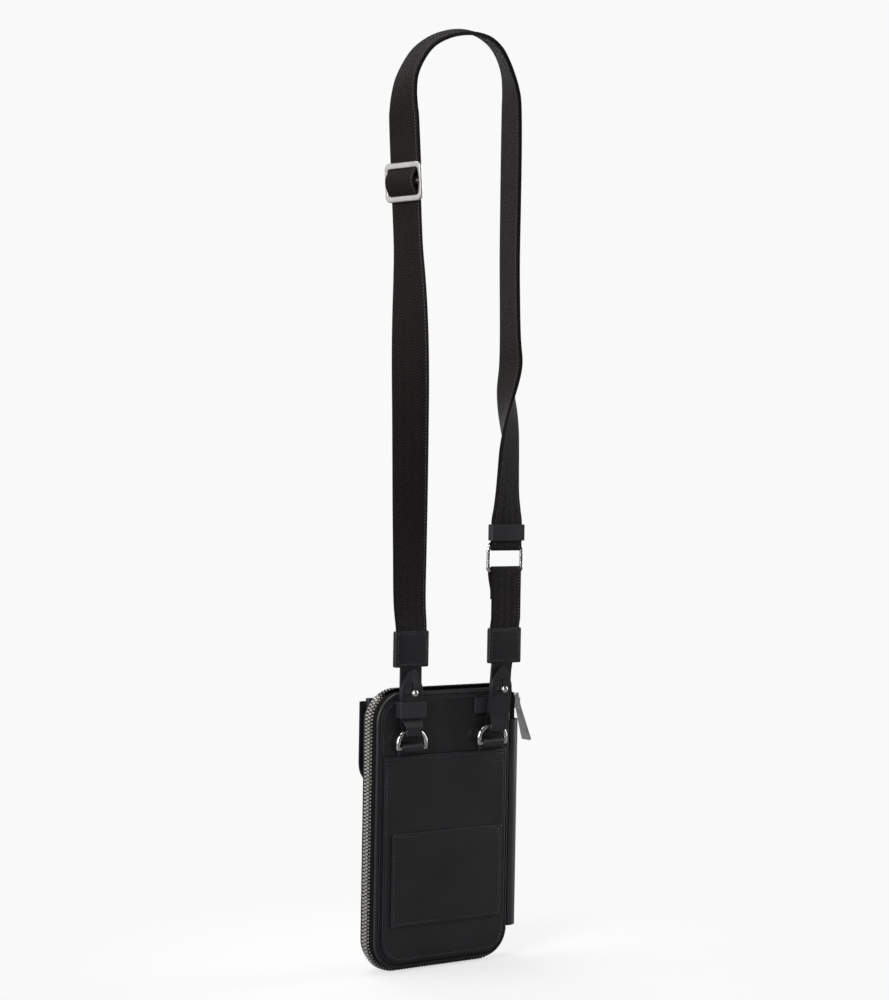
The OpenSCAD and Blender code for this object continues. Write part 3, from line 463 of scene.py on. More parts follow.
calf = leather_finish("smooth calf leather, satin", "1a1a1c", "232326", 0.4)
strap_calf = leather_finish("bridle leather of the tabs", "121315", "1a1b1e", 0.42)

# %% [markdown]
# ### Painted edges
# Each cut edge is burnished and painted, so it is darker, smoother and a little glossier
# than the face.

# %% Edge paint
edge_paint, edge_shader = new_finish("edge paint, burnished", Specular_IOR_Level=0.4, IOR=1.5)
edge_place = add(edge_paint, "ShaderNodeTexCoord").outputs["Object"]
edge_waver = add(edge_paint, "ShaderNodeTexNoise",
                 {"Vector": edge_place, "Scale": 1000 / 2.5, "Detail": 2.0})
plug(edge_paint, edge_shader, "Base Color",
     ramp(edge_paint, edge_waver.outputs["Fac"], [(0.3, colour("141416")), (0.7, colour("1d1d20"))]))
plug(edge_paint, edge_shader, "Roughness",
     ramp(edge_paint, edge_waver.outputs["Fac"], [(0.3, grey(0.3)), (0.7, grey(0.42))]))

# %% [markdown]
# ### Sewing thread
# Bonded polyester thread. Two plies twist round each other, and it shines a little more
# than the leather. A stitch is drawn 0.6 mm thick, so that it shows from where the
# photograph was taken.

# %% Thread
thread, thread_shader = new_finish("bonded polyester thread", Specular_IOR_Level=0.4, Roughness=0.5)
thread_place = add(thread, "ShaderNodeTexCoord").outputs["Object"]
thread_twist = add(thread, "ShaderNodeTexWave",
                   {"Vector": thread_place, "Scale": 1000 / 0.5, "Distortion": 1.0},
                   bands_direction="DIAGONAL")
plug(thread, thread_shader, "Base Color",
     ramp(thread, thread_twist.outputs["Fac"], [(0.0, colour("222225")), (1.0, colour("56565c"))]))
thread_bump = add(thread, "ShaderNodeBump",
                  {"Height": thread_twist.outputs["Fac"], "Strength": 0.5, "Distance": 0.0001})
plug(thread, thread_shader, "Normal", thread_bump.outputs["Normal"])

# %% [markdown]
# ### Webbing
# Polyester webbing with a herringbone twill face: ribs lean one way and then the other in
# lanes about 3 mm wide, each rib 2 mm from the next along the strap, and a plain selvedge
# runs down both edges, with a row of pale stitches beside one. The finish reads the
# strap's own lengthwise map, so the weave follows its twist.


# %% Woven cloths
def woven_finish(name, dark, light, lane, rib, selvedge=None, sheen=0.25):
    """A twill whose ribs turn in lanes. All sizes are in millimetres."""
    finish, shader = new_finish(name, Specular_IOR_Level=0.12, Sheen_Weight=sheen, Sheen_Roughness=0.4,
                                Roughness=0.7)
    shader.inputs["Sheen Tint"].default_value = colour("8c8282")
    cloth = add(finish, "ShaderNodeUVMap", uv_map="cloth").outputs["UV"]
    split = add(finish, "ShaderNodeSeparateXYZ", {"Vector": cloth})
    lanes = add(finish, "ShaderNodeMath", {0: split.outputs["X"], 1: lane / 1000}, operation="PINGPONG")
    lean = add(finish, "ShaderNodeMath", {0: lanes.outputs[0], 1: 1.25, 2: split.outputs["Y"]},
               operation="MULTIPLY_ADD")
    turns = add(finish, "ShaderNodeMath", {0: lean.outputs[0], 1: 2 * math.pi * 1000 / rib},
                operation="MULTIPLY")
    wave = add(finish, "ShaderNodeMath", {0: turns.outputs[0]}, operation="SINE")
    rib_height = add(finish, "ShaderNodeMapRange",
                     {"Value": wave.outputs[0], "From Min": -1.0, "From Max": 1.0})
    yarn_turn = add(finish, "ShaderNodeMath", {0: split.outputs["X"], 1: 2 * math.pi * 1000 / 0.62},
                    operation="MULTIPLY")
    yarn = add(finish, "ShaderNodeMath", {0: yarn_turn.outputs[0]}, operation="SINE")
    yarn_height = add(finish, "ShaderNodeMapRange",
                      {"Value": yarn.outputs[0], "From Min": -1.0, "From Max": 1.0})
    height = add(finish, "ShaderNodeMix",
                 {"Factor": 0.18, 2: rib_height.outputs["Result"], 3: yarn_height.outputs["Result"]})
    level = height.outputs[0]
    if selvedge:
        side = add(finish, "ShaderNodeMath", {0: split.outputs["X"]}, operation="ABSOLUTE")
        at_edge = add(finish, "ShaderNodeMapRange",
                      {"Value": side.outputs[0], "From Min": selvedge / 1000 - 0.0003,
                                                     "From Max": selvedge / 1000 + 0.0003})
        pick_turn = add(finish, "ShaderNodeMath", {0: split.outputs["Y"], 1: 2 * math.pi * 1000 / 0.95},
                        operation="MULTIPLY")
        pick = add(finish, "ShaderNodeMath", {0: pick_turn.outputs[0]}, operation="SINE")
        pick_height = add(finish, "ShaderNodeMapRange",
                          {"Value": pick.outputs[0], "From Min": -1.0, "From Max": 1.0})
        edge = add(finish, "ShaderNodeMix",
                   {"Factor": at_edge.outputs["Result"], 2: level, 3: pick_height.outputs["Result"]})
        level = edge.outputs[0]
    cloud = add(finish, "ShaderNodeTexNoise", {"Vector": cloth, "Scale": 1000 / 18, "Detail": 4.0})
    tone = ramp(finish, level, [(0.3, colour(dark)), (0.8, colour(light))])
    patch = ramp(finish, cloud.outputs["Fac"], [(0.3, grey(0.82)), (0.7, grey(1.0))])
    mixed = add(finish, "ShaderNodeMix", {"Factor": 1.0, 6: tone, 7: patch}, data_type="RGBA",
                blend_type="MULTIPLY")
    shown = mixed.outputs[2]
    if selvedge:
        off = add(finish, "ShaderNodeMath", {0: split.outputs["X"], 1: 0.0106}, operation="SUBTRACT")
        off = add(finish, "ShaderNodeMath", {0: off.outputs[0]}, operation="ABSOLUTE")
        near = add(finish, "ShaderNodeMath", {0: off.outputs[0], 1: 0.0003}, operation="LESS_THAN")
        beat = add(finish, "ShaderNodeMath", {0: split.outputs["Y"], 1: 0.0023}, operation="FLOORED_MODULO")
        stitched = add(finish, "ShaderNodeMath", {0: beat.outputs[0], 1: 0.0014}, operation="LESS_THAN")
        dot = add(finish, "ShaderNodeMath", {0: near.outputs[0], 1: stitched.outputs[0]},
                  operation="MULTIPLY")
        seamed = add(finish, "ShaderNodeMix", {"Factor": dot.outputs[0], 6: shown, 7: colour("575052")},
                     data_type="RGBA")
        shown = seamed.outputs[2]
    plug(finish, shader, "Base Color", shown)
    bump = add(finish, "ShaderNodeBump", {"Height": level, "Strength": 0.9, "Distance": 0.0004})
    plug(finish, shader, "Normal", bump.outputs["Normal"])
    return finish


webbing = woven_finish("polyester webbing, herringbone", "050404", "332d2c", 2.9, 2.0, selvedge=11.6,
                       sheen=0.02)
lining_cloth = woven_finish("lining twill", "121213", "222224", 400.0, 0.9, sheen=0.1)

# %% [markdown]
# ### Zip tape
# Knitted polyester tape, dyed black, with loops of about 0.6 mm.

# %% Tape
tape, tape_shader = new_finish("zip tape, knitted polyester", Specular_IOR_Level=0.2, Roughness=0.85)
tape_place = add(tape, "ShaderNodeTexCoord").outputs["Object"]
tape_knit = add(tape, "ShaderNodeTexVoronoi",
                {"Vector": tape_place, "Scale": 1000 / 0.6, "Randomness": 0.25})
plug(tape, tape_shader, "Base Color",
     ramp(tape, tape_knit.outputs["Distance"], [(0.0, colour("151517")), (0.6, colour("09090a"))]))
tape_bump = add(tape, "ShaderNodeBump",
                {"Height": tape_knit.outputs["Distance"], "Strength": 0.5, "Distance": 0.0002})
tape_bump.invert = True
plug(tape, tape_shader, "Normal", tape_bump.outputs["Normal"])


# %% [markdown]
# ### Metal
# The fittings are cast zinc, tumbled and nickel plated. The plating gives a soft mirror
# with faint rub marks; the slider is brushed to satin and the teeth are polished nickel.
# The top run of teeth and the legs clamped round the tape reflect little light, so painted
# shade stands in for it: the tooth finish is mixed to a dark grey above a height and on
# faces turned along Y.


# %% Plated metals
def metal_finish(name, tint, rough, marks, mark_mm=(0.25, 4.0)):
    """Plated metal whose rub marks are marks strong and mark_mm across and along."""
    finish, shader = new_finish(name, Metallic=1.0)
    place = add(finish, "ShaderNodeTexCoord").outputs["Object"]
    stretch = add(finish, "ShaderNodeMapping",
                  {"Vector": place, "Scale": (1000 / mark_mm[0], 1000 / mark_mm[0], 1000 / mark_mm[1])})
    rubs = add(finish, "ShaderNodeTexNoise",
               {"Vector": stretch.outputs["Vector"], "Scale": 1.0, "Detail": 3.0})
    cloud = add(finish, "ShaderNodeTexNoise", {"Vector": place, "Scale": 1000 / 6, "Detail": 2.0})
    plug(finish, shader, "Roughness",
         ramp(finish, rubs.outputs["Fac"], [(0.3, grey(rough - 0.05)), (0.7, grey(rough + 0.06))]))
    darker = tuple(c * 0.86 for c in colour(tint)[:3]) + (1,)
    plug(finish, shader, "Base Color",
         ramp(finish, cloud.outputs["Fac"], [(0.3, darker), (0.7, colour(tint))]))
    bump = add(finish, "ShaderNodeBump",
               {"Height": rubs.outputs["Fac"], "Strength": marks, "Distance": 0.00004})
    plug(finish, shader, "Normal", bump.outputs["Normal"])
    return finish


nickel = metal_finish("nickel plate, polished", "d8d6d2", 0.16, 0.12)
satin_nickel = metal_finish("nickel plate, satin", "cfcdca", 0.4, 0.3)
tooth_metal = metal_finish("zip teeth, polished nickel", "f1eee8", 0.38, 0.1, (0.3, 0.3))
tooth_shader = tooth_metal.node_tree.nodes["Principled BSDF"]
tooth_place = add(tooth_metal, "ShaderNodeTexCoord").outputs["Object"]
tooth_height = add(tooth_metal, "ShaderNodeSeparateXYZ", {"Vector": tooth_place}).outputs["Z"]
TOP_RUN_Z = (here(0, 0, 184.5).z, here(0, 0, 186.5).z)
# Painted shade: teeth above this height are mixed to a dark grey (2b2a2a).
top_run_painted_shade = add(tooth_metal, "ShaderNodeMapRange",
              {"Value": tooth_height, "From Min": TOP_RUN_Z[0], "From Max": TOP_RUN_Z[1]})
silver = tooth_shader.inputs["Base Color"].links[0].from_socket
shaded = add(tooth_metal, "ShaderNodeMix",
             {"Factor": top_run_painted_shade.outputs["Result"], 6: silver, 7: colour("2b2a2a")}, data_type="RGBA")
tooth_facing = add(tooth_metal, "ShaderNodeTexCoord").outputs["Normal"]
facing_y = add(tooth_metal, "ShaderNodeSeparateXYZ", {"Vector": tooth_facing}).outputs["Y"]
facing_y = add(tooth_metal, "ShaderNodeMath", {0: facing_y}, operation="ABSOLUTE").outputs[0]
# Painted shade: faces turned along Y, the legs round the tape, are mixed to a dark grey (242323).
legs_painted_shade = add(tooth_metal, "ShaderNodeMapRange",
           {"Value": facing_y, "From Min": 0.55, "From Max": 0.8, "To Max": 0.85})
legs_shaded = add(tooth_metal, "ShaderNodeMix",
              {"Factor": legs_painted_shade.outputs["Result"], 6: shaded.outputs[2], 7: colour("242323")},
              data_type="RGBA")
plug(tooth_metal, tooth_shader, "Base Color", legs_shaded.outputs[2])

# %% [markdown]
# ### Stiffener board
# Pressed fibre board between the leather and the lining. It only shows at a cut edge.

# %% Board
board, board_shader = new_finish("pressed fibre board", Roughness=0.9, Specular_IOR_Level=0.1)
board_place = add(board, "ShaderNodeTexCoord").outputs["Object"]
board_flecks = add(board, "ShaderNodeTexNoise", {"Vector": board_place, "Scale": 1000 / 1.2, "Detail": 5.0})
plug(board, board_shader, "Base Color",
     ramp(board, board_flecks.outputs["Fac"], [(0.3, colour("6b5d4a")), (0.7, colour("8f7f68"))]))

# %% [markdown]
# ## Rigid pieces
# The metal fittings, the teeth and the boards already have their shape, so they only get
# their finish.

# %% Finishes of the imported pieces
packed_finish = {
    nickel: ("strap_ring", "d_ring_left", "d_ring_right", "tab_stud_left", "tab_stud_right"),
    satin_nickel: ("zip_slider", "zip_pull", "snap_base", "snap_cap"),
    tooth_metal: ("back_teeth", "front_teeth", "corner_teeth"),
    board: ("back_board", "front_board"),
}
for finish, nodes in packed_finish.items():
    for node in nodes:
        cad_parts[node].data.materials.clear()
        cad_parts[node].data.materials.append(finish)
print("packed pieces with a finish:", sum(len(n) for n in packed_finish.values()))

# %% [markdown]
# ## The strap's webbing
# One length of webbing runs from the left cap over the hand, round the strap ring's upper
# bar and back up to the length slider. It twists a quarter turn on each side. It could be
# simulated, but it hangs taut, so it is laid along the measured route, each layer with its
# own twist.

# %% The strap's route
CAP_TOP, RISE, HALF_SPAN, LAYER = 229.45, 403.5, 46.0, 1.4
WEB_W, WEB_T = 25.0, 1.3
# Read off the strap itself, from the left cap over the top and down to the ring: across
# and up as shares of half the span and of the rise, the twist of the outer and of the
# inner layer in degrees, and the step between their middles as a share of one layer.
ROUTE = [
    (-0.685, -0.027, 0, 0, 1), (-0.685, 0.004, 0, 0, 1), (-0.724, 0.052, -4, -4, 1),
    (-0.735, 0.134, -9, -9, 1), (-0.745, 0.217, -15, -15, 1), (-0.755, 0.3, -20, -20, 1),
    (-0.767, 0.381, -27, -27, 1), (-0.785, 0.461, -42, -42, 1), (-0.805, 0.535, -57, -57, 1),
    (-0.8251, 0.5873, -68, -68, 1), (-0.8565, 0.6417, -76, -76, 1),
    (-0.9152, 0.7409, -76, -76, 1), (-0.9739, 0.84, -77, -77, 1),
    (-0.9871, 0.8623, -81, -81, 1), (-0.985, 0.887, -87, -87, 1), (-0.94, 0.9155, -92, -92, 1),
    (-0.81, 0.9445, -93, -93, 1), (-0.63, 0.969, -91, -91, 1),
    (-0.36, 0.9885, -86, -86, 1), (-0.07, 1, -81, -81, 1),
    (0.21, 1.004, -76, -76, 1), (0.455, 1.0005, -72, -72, 1), (0.67, 0.988, -68, -68, 1),
    (0.815, 0.97, -66, -66, 1), (0.926, 0.945, -68, -68, 1),
    (0.989, 0.916, -75, -75, 1), (1.011, 0.887, -80, -80, 1),
    (1.02, 0.82, -82, -82, 1), (1.023, 0.729, -82, -82, 1), (1.026, 0.63, -81, -81, 1),
    (1.043, 0.556, -81, -81, 1), (1.075, 0.495, -80, -83, 1.3), (1.13, 0.45, -77, -87, 2.5),
    (1.145, 0.41, -60, -82, 4.3), (1.13, 0.375, -43, -71, 4.7), (1.105, 0.34, -31, -57, 4.5),
    (1.085, 0.303, -25, -44, 3.9), (1.07, 0.265, -21, -33, 2.8), (1.06, 0.23, -17, -24, 2.1),
    (1.055, 0.203, -9, -12, 1.4), (1.05, 0.182, 0, 0, 1), (1.05, 0.16, 0, 0, 1),
    (1.05, 0.1485, 0, 0, 1.15), (1.05, 0.1435, 0, 0, 2.8), (1.05, 0.1385, 0, 0, 3.35),
]
LAST = len(ROUTE) - 1
SLIDER_AT, RETURN_AT = 11, 13


def station(i):
    a, b, c, d, e = ROUTE[min(max(i, 0), LAST)]
    return np.array((a * HALF_SPAN, CAP_TOP + b * RISE, c, d, e * LAYER))


def route_at(k):
    """The route's values at k, on a smooth curve through the stations."""
    i = min(int(math.floor(k)), LAST - 1)
    t = k - i
    a, b, c, d = (station(i + j) for j in (-1, 0, 1, 2))
    return 0.5 * (2 * b + (c - a) * t + (2 * a - 5 * b + 4 * c - d) * t * t
                  + (3 * b - a - 3 * c + d) * t ** 3)


def webbing_place(k, inner):
    """Centre, direction across and direction through of one layer at k."""
    p, a, b = route_at(k), route_at(max(k - 0.01, 0)), route_at(min(k + 0.01, LAST))
    t = (b[:2] - a[:2]) / np.linalg.norm(b[:2] - a[:2])
    u, v = np.array((t[1], 0, -t[0])), np.array((0.0, 1.0, 0.0))
    twist = math.radians(p[3] if inner else p[2])
    middle = math.radians((p[2] + p[3]) / 2)
    centre = np.array((p[0], STRAP_Y, p[1]))
    if inner:
        centre = centre + p[4] * (math.cos(middle) * v - math.sin(middle) * u)
    across = math.cos(twist) * u + math.sin(twist) * v
    through = math.cos(twist) * v - math.sin(twist) * u
    return centre, across, through, WEB_W / 2


def webbing_run(k0, k1, inner, fine=6):
    n = round((k1 - k0) * fine)
    return [webbing_place(k0 + (k1 - k0) * i / n, inner) for i in range(n + 1)]


# %% Both layers of webbing
outer_layer = strap_piece("webbing_outer_layer", webbing_run(0, LAST, False), WEB_T, "strap", webbing,
                          across=10)
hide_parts("strap_webbing")
inner_layer = strap_piece("webbing_inner_layer", webbing_run(RETURN_AT, LAST, True), WEB_T, "strap",
                          webbing, across=10)
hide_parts("webbing_return")
return_end = strap_piece("webbing_return_at_slider", webbing_run(SLIDER_AT, RETURN_AT, True, 16), WEB_T,
                         "strap", webbing, across=10)
print("webbing, outer layer faces:", len(outer_layer.data.polygons))

# %% [markdown]
# The return layer's end moves with the slider, so it stretches between the strap and the
# slider.

# %% The return layer's end follows the slider
return_end.parent = None
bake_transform(return_end, "strap_slider", "strap",
         start=here(*webbing_place(SLIDER_AT + 0.1, True)[0]), end=here(*webbing_place(RETURN_AT, True)[0]))
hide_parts("webbing_return_end")

# %% [markdown]
# ## Webbing at the ring and at the slider
# Where webbing turns round a bar it is the same strap on a tight bend, so each turn is a
# strap piece through points round the bar.


# %% Turns of webbing round bars
def bend_places(centre_y, centre_z, radius, a0, a1, x, half_w, n=14):
    """Places round a bar along X, from angle a0 to a1, measured from +Y towards +Z."""
    places = []
    for i in range(n + 1):
        a = math.radians(a0 + (a1 - a0) * i / n)
        out = np.array((0.0, math.cos(a), math.sin(a)))
        centre = np.array((x, centre_y, centre_z)) + radius * out
        places.append((centre, np.array((1.0, 0, 0)), out, half_w))
    return places


RING_X, RING_Y, RING_TOP = 48.3, -8.95, 285.335
RING_LOW = RING_TOP - 16.5
BAR_R = 1.6
turn_r = BAR_R + WEB_T / 2
ring_turn = strap_piece("webbing_turn_at_ring",
                        bend_places(RING_Y, RING_TOP, turn_r, 180, 360, RING_X, WEB_W / 2),
                        WEB_T, "strap", webbing)

# %% The lower webbing, sewn round the ring's lower bar
CAP_RIGHT_X, IN_CAP = 47.3, 11
lap = RING_LOW - CAP_TOP
lap_y = STRAP_Y + WEB_T + 0.05


def flat_place(x, y, z, ny=1.0, nz=0.0):
    return np.array((x, y, z)), np.array((1.0, 0, 0)), np.array((0.0, ny, nz)), WEB_W / 2


lower_run = [flat_place(CAP_RIGHT_X, STRAP_Y, CAP_TOP - IN_CAP),
             flat_place(CAP_RIGHT_X, STRAP_Y, CAP_TOP - 4)]
lower_run += [flat_place(CAP_RIGHT_X + (RING_X - CAP_RIGHT_X) * t, STRAP_Y, CAP_TOP + t * 6)
              for t in (0, 0.5, 1)]
lower_run += [flat_place(RING_X, STRAP_Y, z) for z in np.linspace(CAP_TOP + 9, RING_LOW - 0.5, 8)]
lower_run += [(c, w, -o, h) for c, w, o,
              h in bend_places(RING_Y, RING_LOW, turn_r, 180, 0, RING_X, WEB_W / 2)]
tail = []
for t in np.linspace(0.12, 1, 9):
    s = t * t * (3 - 2 * t)
    y = RING_Y + turn_r + (lap_y - RING_Y - turn_r) * min(1, s * 1.25)
    z = RING_LOW - t * lap * 0.5
    tail.append((y, z))
for i, (y, z) in enumerate(tail):
    y2, z2 = tail[min(i + 1, len(tail) - 1)]
    y1, z1 = tail[max(i - 1, 0)]
    dy, dz = y2 - y1, z2 - z1
    size = math.hypot(dy, dz)
    lower_run.append(flat_place(RING_X, y, z, dz / size, -dy / size))
lower_strap = strap_piece("lower_webbing_sewn", lower_run, WEB_T, "strap", webbing)
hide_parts("lower_webbing")

# %% [markdown]
# ## Length slider
# A cast frame with rounded corners, through which the webbing climbs over a centre bar.
# The frame is lofted through ring sections with eased edges, because a bevelled box would
# keep its square corners. The bar is a plain rod, the hump and the bar's turn are webbing.

# %% Places at the length slider
slider_place = webbing_place(SLIDER_AT, False)
toward = (route_at(SLIDER_AT + 0.01) - route_at(SLIDER_AT - 0.01))[:2]
toward = toward / np.linalg.norm(toward)
slider_up = np.array((toward[0], 0, toward[1]))
slider_wide, slider_in = slider_place[1], slider_place[2]
HUB_N, CORE_R, SLIDER_OUT = 3.35, 1.2, 0.95
HUMP_HALF, HUMP_RISE = 8.7, 6.3


def slider_point(out, along, half_w, normal):
    """A place out from the webbing's middle and along it, at the slider."""
    centre = slider_place[0] - slider_in * out + slider_up * along
    through = slider_up * normal[1] - slider_in * normal[0]
    return centre, slider_wide, through, half_w


def at_slider(wide, out, along):
    """A place at the slider: across the webbing, out from it and along it."""
    return slider_place[0] + slider_wide * wide - slider_in * out + slider_up * along


# %% The slider's frame and bar
FRAME_W, FRAME_H, FRAME_T, RAIL, BAR, EASE = 31.5, 26.0, 2.4, 2.6, 4.0, 0.7
FRAME_R, OPENING_R = 4.2, 2.0
outer_ring = outline_ring((-FRAME_W / 2, -FRAME_H / 2, FRAME_W / 2, FRAME_H / 2), (FRAME_R,) * 4, 0, 6, 6,
                          10)
inner_ring = outline_ring((RAIL - FRAME_W / 2, BAR - FRAME_H / 2, FRAME_W / 2 - RAIL, FRAME_H / 2 - BAR),
                          (OPENING_R,) * 4, 0, 6, 6, 10)
rounds = [(math.cos(math.radians(a)), math.sin(math.radians(a))) for a in (0, 22.5, 45, 67.5, 90)]
rings = []
for (xo, zo), (xi, zi) in zip(outer_ring, inner_ring):
    size = math.hypot(xo - xi, zo - zi)
    section = [(size - EASE + EASE * c, FRAME_T - EASE + EASE * v) for c, v in rounds]
    section += [(EASE - EASE * v, FRAME_T - EASE + EASE * c) for c, v in rounds]
    section += [(EASE - EASE * c, EASE - EASE * v) for c, v in rounds]
    section += [(size - EASE + EASE * v, EASE - EASE * c) for c, v in rounds]
    rings.append([at_slider(xi + (xo - xi) * q / size, SLIDER_OUT + n, zi + (zo - zi) * q / size) for q,
                  n in section])
frame_piece = loft("length_slider_frame", rings, "strap_slider", satin_nickel, [0.0] * 20, closed=True)
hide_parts("length_slider")
half = FRAME_W / 2 - CORE_R
rod_rings = []
for x in (-half, half):
    rod_rings.append([at_slider(x, HUB_N + CORE_R * math.cos(math.pi * j / 12),
                                CORE_R * math.sin(math.pi * j / 12))
                      for j in range(24)])
bar_rod = loft("length_slider_bar", rod_rings, "strap_slider", satin_nickel, [0.0] * 24)

# %% Webbing over the length slider
HUMP_STEPS = 26
hump = []
for i in range(HUMP_STEPS + 1):
    t = -1 + 2 * i / HUMP_STEPS
    level = math.cos(t * math.pi / 2) ** 0.8
    slope = math.pi / 2 * 0.8 * math.sin(t * math.pi / 2) * max(math.cos(t * math.pi / 2), 0.15) ** -0.2
    rise = (HUMP_RISE - WEB_T / 2) * level + WEB_T / 2 * (1 - level)
    nx, nz = 1.0, slope * HUMP_RISE / HUMP_HALF
    size = math.hypot(nx, nz)
    hump.append(slider_point(SLIDER_OUT + rise, t * HUMP_HALF, WEB_W / 2 - 0.3, (nx / size, nz / size)))
hump_strap = strap_piece("webbing_over_slider", hump, WEB_T, "strap_slider", webbing, across=10)
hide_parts("slider_webbing")

TURN_STEPS = 20
bar_turn = []
for i in range(TURN_STEPS):
    a = 2 * math.pi * i / TURN_STEPS
    bar_turn.append(slider_point(HUB_N + (CORE_R + WEB_T / 2) * math.cos(a),
                                 (CORE_R + WEB_T / 2) * math.sin(a),
                                 WEB_W / 2, (math.cos(a), math.sin(a))))
bar_strap = strap_piece("webbing_round_slider_bar", bar_turn, WEB_T, "strap_slider", webbing, closed=True)
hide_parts("slider_bar_loop")
print("webbing over the slider rises", HUMP_RISE, "mm")

# %% [markdown]
# ## Leather of the case
# Each half is a leather panel inside a rolled rim. The panel is a flat sheet whose turned
# edge falls away over half a millimetre, with a row of stitches 2.2 mm in. The skin is a
# little uneven, as leather glued on board is.


# %% Panels and their stitches
LEATHER_T, PANEL_IN_Y, PANEL_ROW_Y, PANEL_SEAM = 1.6, 7.4, 8.92, 2.2
STITCH_PITCH = 2.6


def panel_relief(seed):
    def relief(d, x, z):
        return (turned_edge(d, 0.4) + pressed_seam(d, PANEL_SEAM)
                + 0.1 * hand_waver(x, z, seed) * min(d / 6, 1)
                + 0.12 * (1 - math.exp(-max(d - PANEL_SEAM, 0) / 5)) - 0.02)
    return relief


panel_box = (-PANEL_X, PANEL_Z0, PANEL_X, PANEL_Z1)
panel_radii = (PANEL_R,) * 4
for side, out, body in (("back", -1, "pouch"), ("front", 1, "case_front")):
    skin = leather_sheet(side + "_panel_leather", panel_box, panel_radii, out * PANEL_IN_Y, LEATHER_T, out,
                         body,
                         [calf, edge_paint], panel_relief(3.1 + out))
    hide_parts(side + "_panel")
    row = stitch_row(side + "_panel_stitches",
                     edge_route(panel_box, panel_radii, PANEL_SEAM, out * PANEL_ROW_Y, out),
                     STITCH_PITCH, body, thread)

# %% [markdown]
# The rim is a strip of the same leather rolled over a cord, which gives it a round bead
# outside the panel's groove.


# %% Rolled rims
def edge_frames(box, radii, turns=12, nx=22, nz=36):
    """Places round the outline with the way outwards: (x, z, nx, nz)."""
    ring = outline_ring(box, radii, 0, nx, nz, turns)
    outer = outline_ring(tuple(v + s for v, s in zip(box, (-1, -1, 1, 1))), tuple(r + 1 for r in radii), 0,
                         nx, nz, turns)
    return [(a[0], a[1], b[0] - a[0], b[1] - a[1]) for a, b in zip(ring, outer)]


def rim_section(out, wave=0.0):
    """The rolled rim's outline as (outwards, y)."""
    points = [(-3.0, 7.4), (0.5, 7.4), (0.5, 8.55), (0.65, 8.7)]
    for i in range(9):
        a = math.pi / 2 - math.pi * i / 8
        points.append((1.4 + (1.4 + wave) * math.cos(a), 7.3 + 1.4 * math.sin(a)))
    points += [(0.5, 5.9), (0.5, 6.4), (-3.0, 6.4)]
    return [(q, out * y) for q, y in points]


for side, out, body in (("back", -1, "pouch"), ("front", 1, "case_front")):
    rings = []
    for i, (x, z, ox, oz) in enumerate(edge_frames(panel_box, panel_radii)):
        waver = 0.08 * hand_waver(x * 1.7, z * 1.7, 9.0 + out, 14.0)
        rings.append([(x + ox * q, y, z + oz * q) for q, y in rim_section(out, waver)])
    around = [j * 0.001 for j in range(len(rings[0]))]
    rim = loft(side + "_rim_leather", rings, body, calf, around, closed=True)
    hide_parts(side + "_rim")
print("rolled rims laid round both panels")

# %% [markdown]
# ## Pockets
# The back has a wide slip pocket with a card pocket on it, the front a slip pocket behind
# its flap. A pocket is a thin leather sheet sewn down on three sides. Its mouth is left a
# little open, so the sheet swells towards the mouth and its edge wavers.


# %% Pocket leather
def pocket_relief(box, seam, swell, waver, seed, ease=0.35):
    x0, z0, x1, z1 = box

    def relief(d, x, z):
        side = min(x - x0, x1 - x, z - z0)
        hem = z1 - z
        up_share = max(0.0, (z - z0) / (z1 - z0))
        inside = 1 - math.exp(-max(side - seam, 0) / 7)
        uneven = waver * hand_waver(x, z, seed, 30) * inside * (0.25 + 0.75 * up_share ** 2)
        rise = swell * inside * up_share ** 3 + uneven
        sewn = pressed_seam(side, seam, 0.2) if side < seam + 3 else 0
        hemmed = pressed_seam(hem, seam, 0.22) if side > seam else 0
        return turned_edge(d, ease) + sewn + rise + hemmed
    return relief


SLIP_SEAM, CARD_SEAM = 2.1, 1.9
slip_box = (-51.0, 7.15, 51.0, 145.65)
slip_radii = (15.0, 15.0, 0.6, 0.6)
slip = leather_sheet("back_slip_pocket_leather", slip_box, slip_radii, FACE_Y - 0.05, 2.2, -1, "pouch",
                     [calf, edge_paint], pocket_relief(slip_box, SLIP_SEAM, 0.35, 0.22, 5.0))
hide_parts("back_slip_pocket")
slip_row = stitch_row("slip_pocket_stitches",
                      edge_route(slip_box, slip_radii, SLIP_SEAM, -11.22, -1, ("b", "r", "l")),
                      STITCH_PITCH, "pouch", thread)
hem_route = [((x, -11.58, 143.55), (0, -1, 0)) for x in np.linspace(-47.5, 47.5, 20)]
hem_row = stitch_row("slip_pocket_hem_stitches", hem_route, STITCH_PITCH, "pouch", thread)
card_box = (-45.0, 31.15, 47.0, 93.65)
card = leather_sheet("card_pocket_leather", card_box, (1.5,) * 4, -11.35, 1.4, -1, "pouch",
                     [calf, edge_paint], pocket_relief(card_box, CARD_SEAM, 0.3, 0.18, 7.0), cell=4.0)
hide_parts("card_pocket")
card_row = stitch_row("card_pocket_stitches",
                      edge_route(card_box, (1.5,) * 4, CARD_SEAM, -12.7, -1, ("b", "r", "l")),
                      STITCH_PITCH, "pouch", thread)
front_box = (-51.0, 7.15, 51.0, 163.15)
front_slip = leather_sheet("front_pocket_leather", front_box, (15.0,) * 4, 9.05, 2.2, 1, "case_front",
                           [calf, edge_paint], pocket_relief(front_box, SLIP_SEAM, 0.0, 0.15, 11.0))
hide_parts("front_pocket")
front_row = stitch_row("front_pocket_stitches",
                       edge_route(front_box, (15.0,) * 4, SLIP_SEAM, 11.22, 1, ("b", "r", "l")),
                       STITCH_PITCH, "case_front", thread)
print("pockets sewn on")

# %% [markdown]
# ## Linings and inner pockets
# Inside, each half is lined with twill, with a phone pocket on one side and three card
# slots on the other.


# %% Linings and inner pockets
def plain_relief(ease, waver=0.0, seed=0.0):
    return lambda d, x, z: turned_edge(d, ease) + waver * hand_waver(x, z, seed) * min(d / 5, 1)


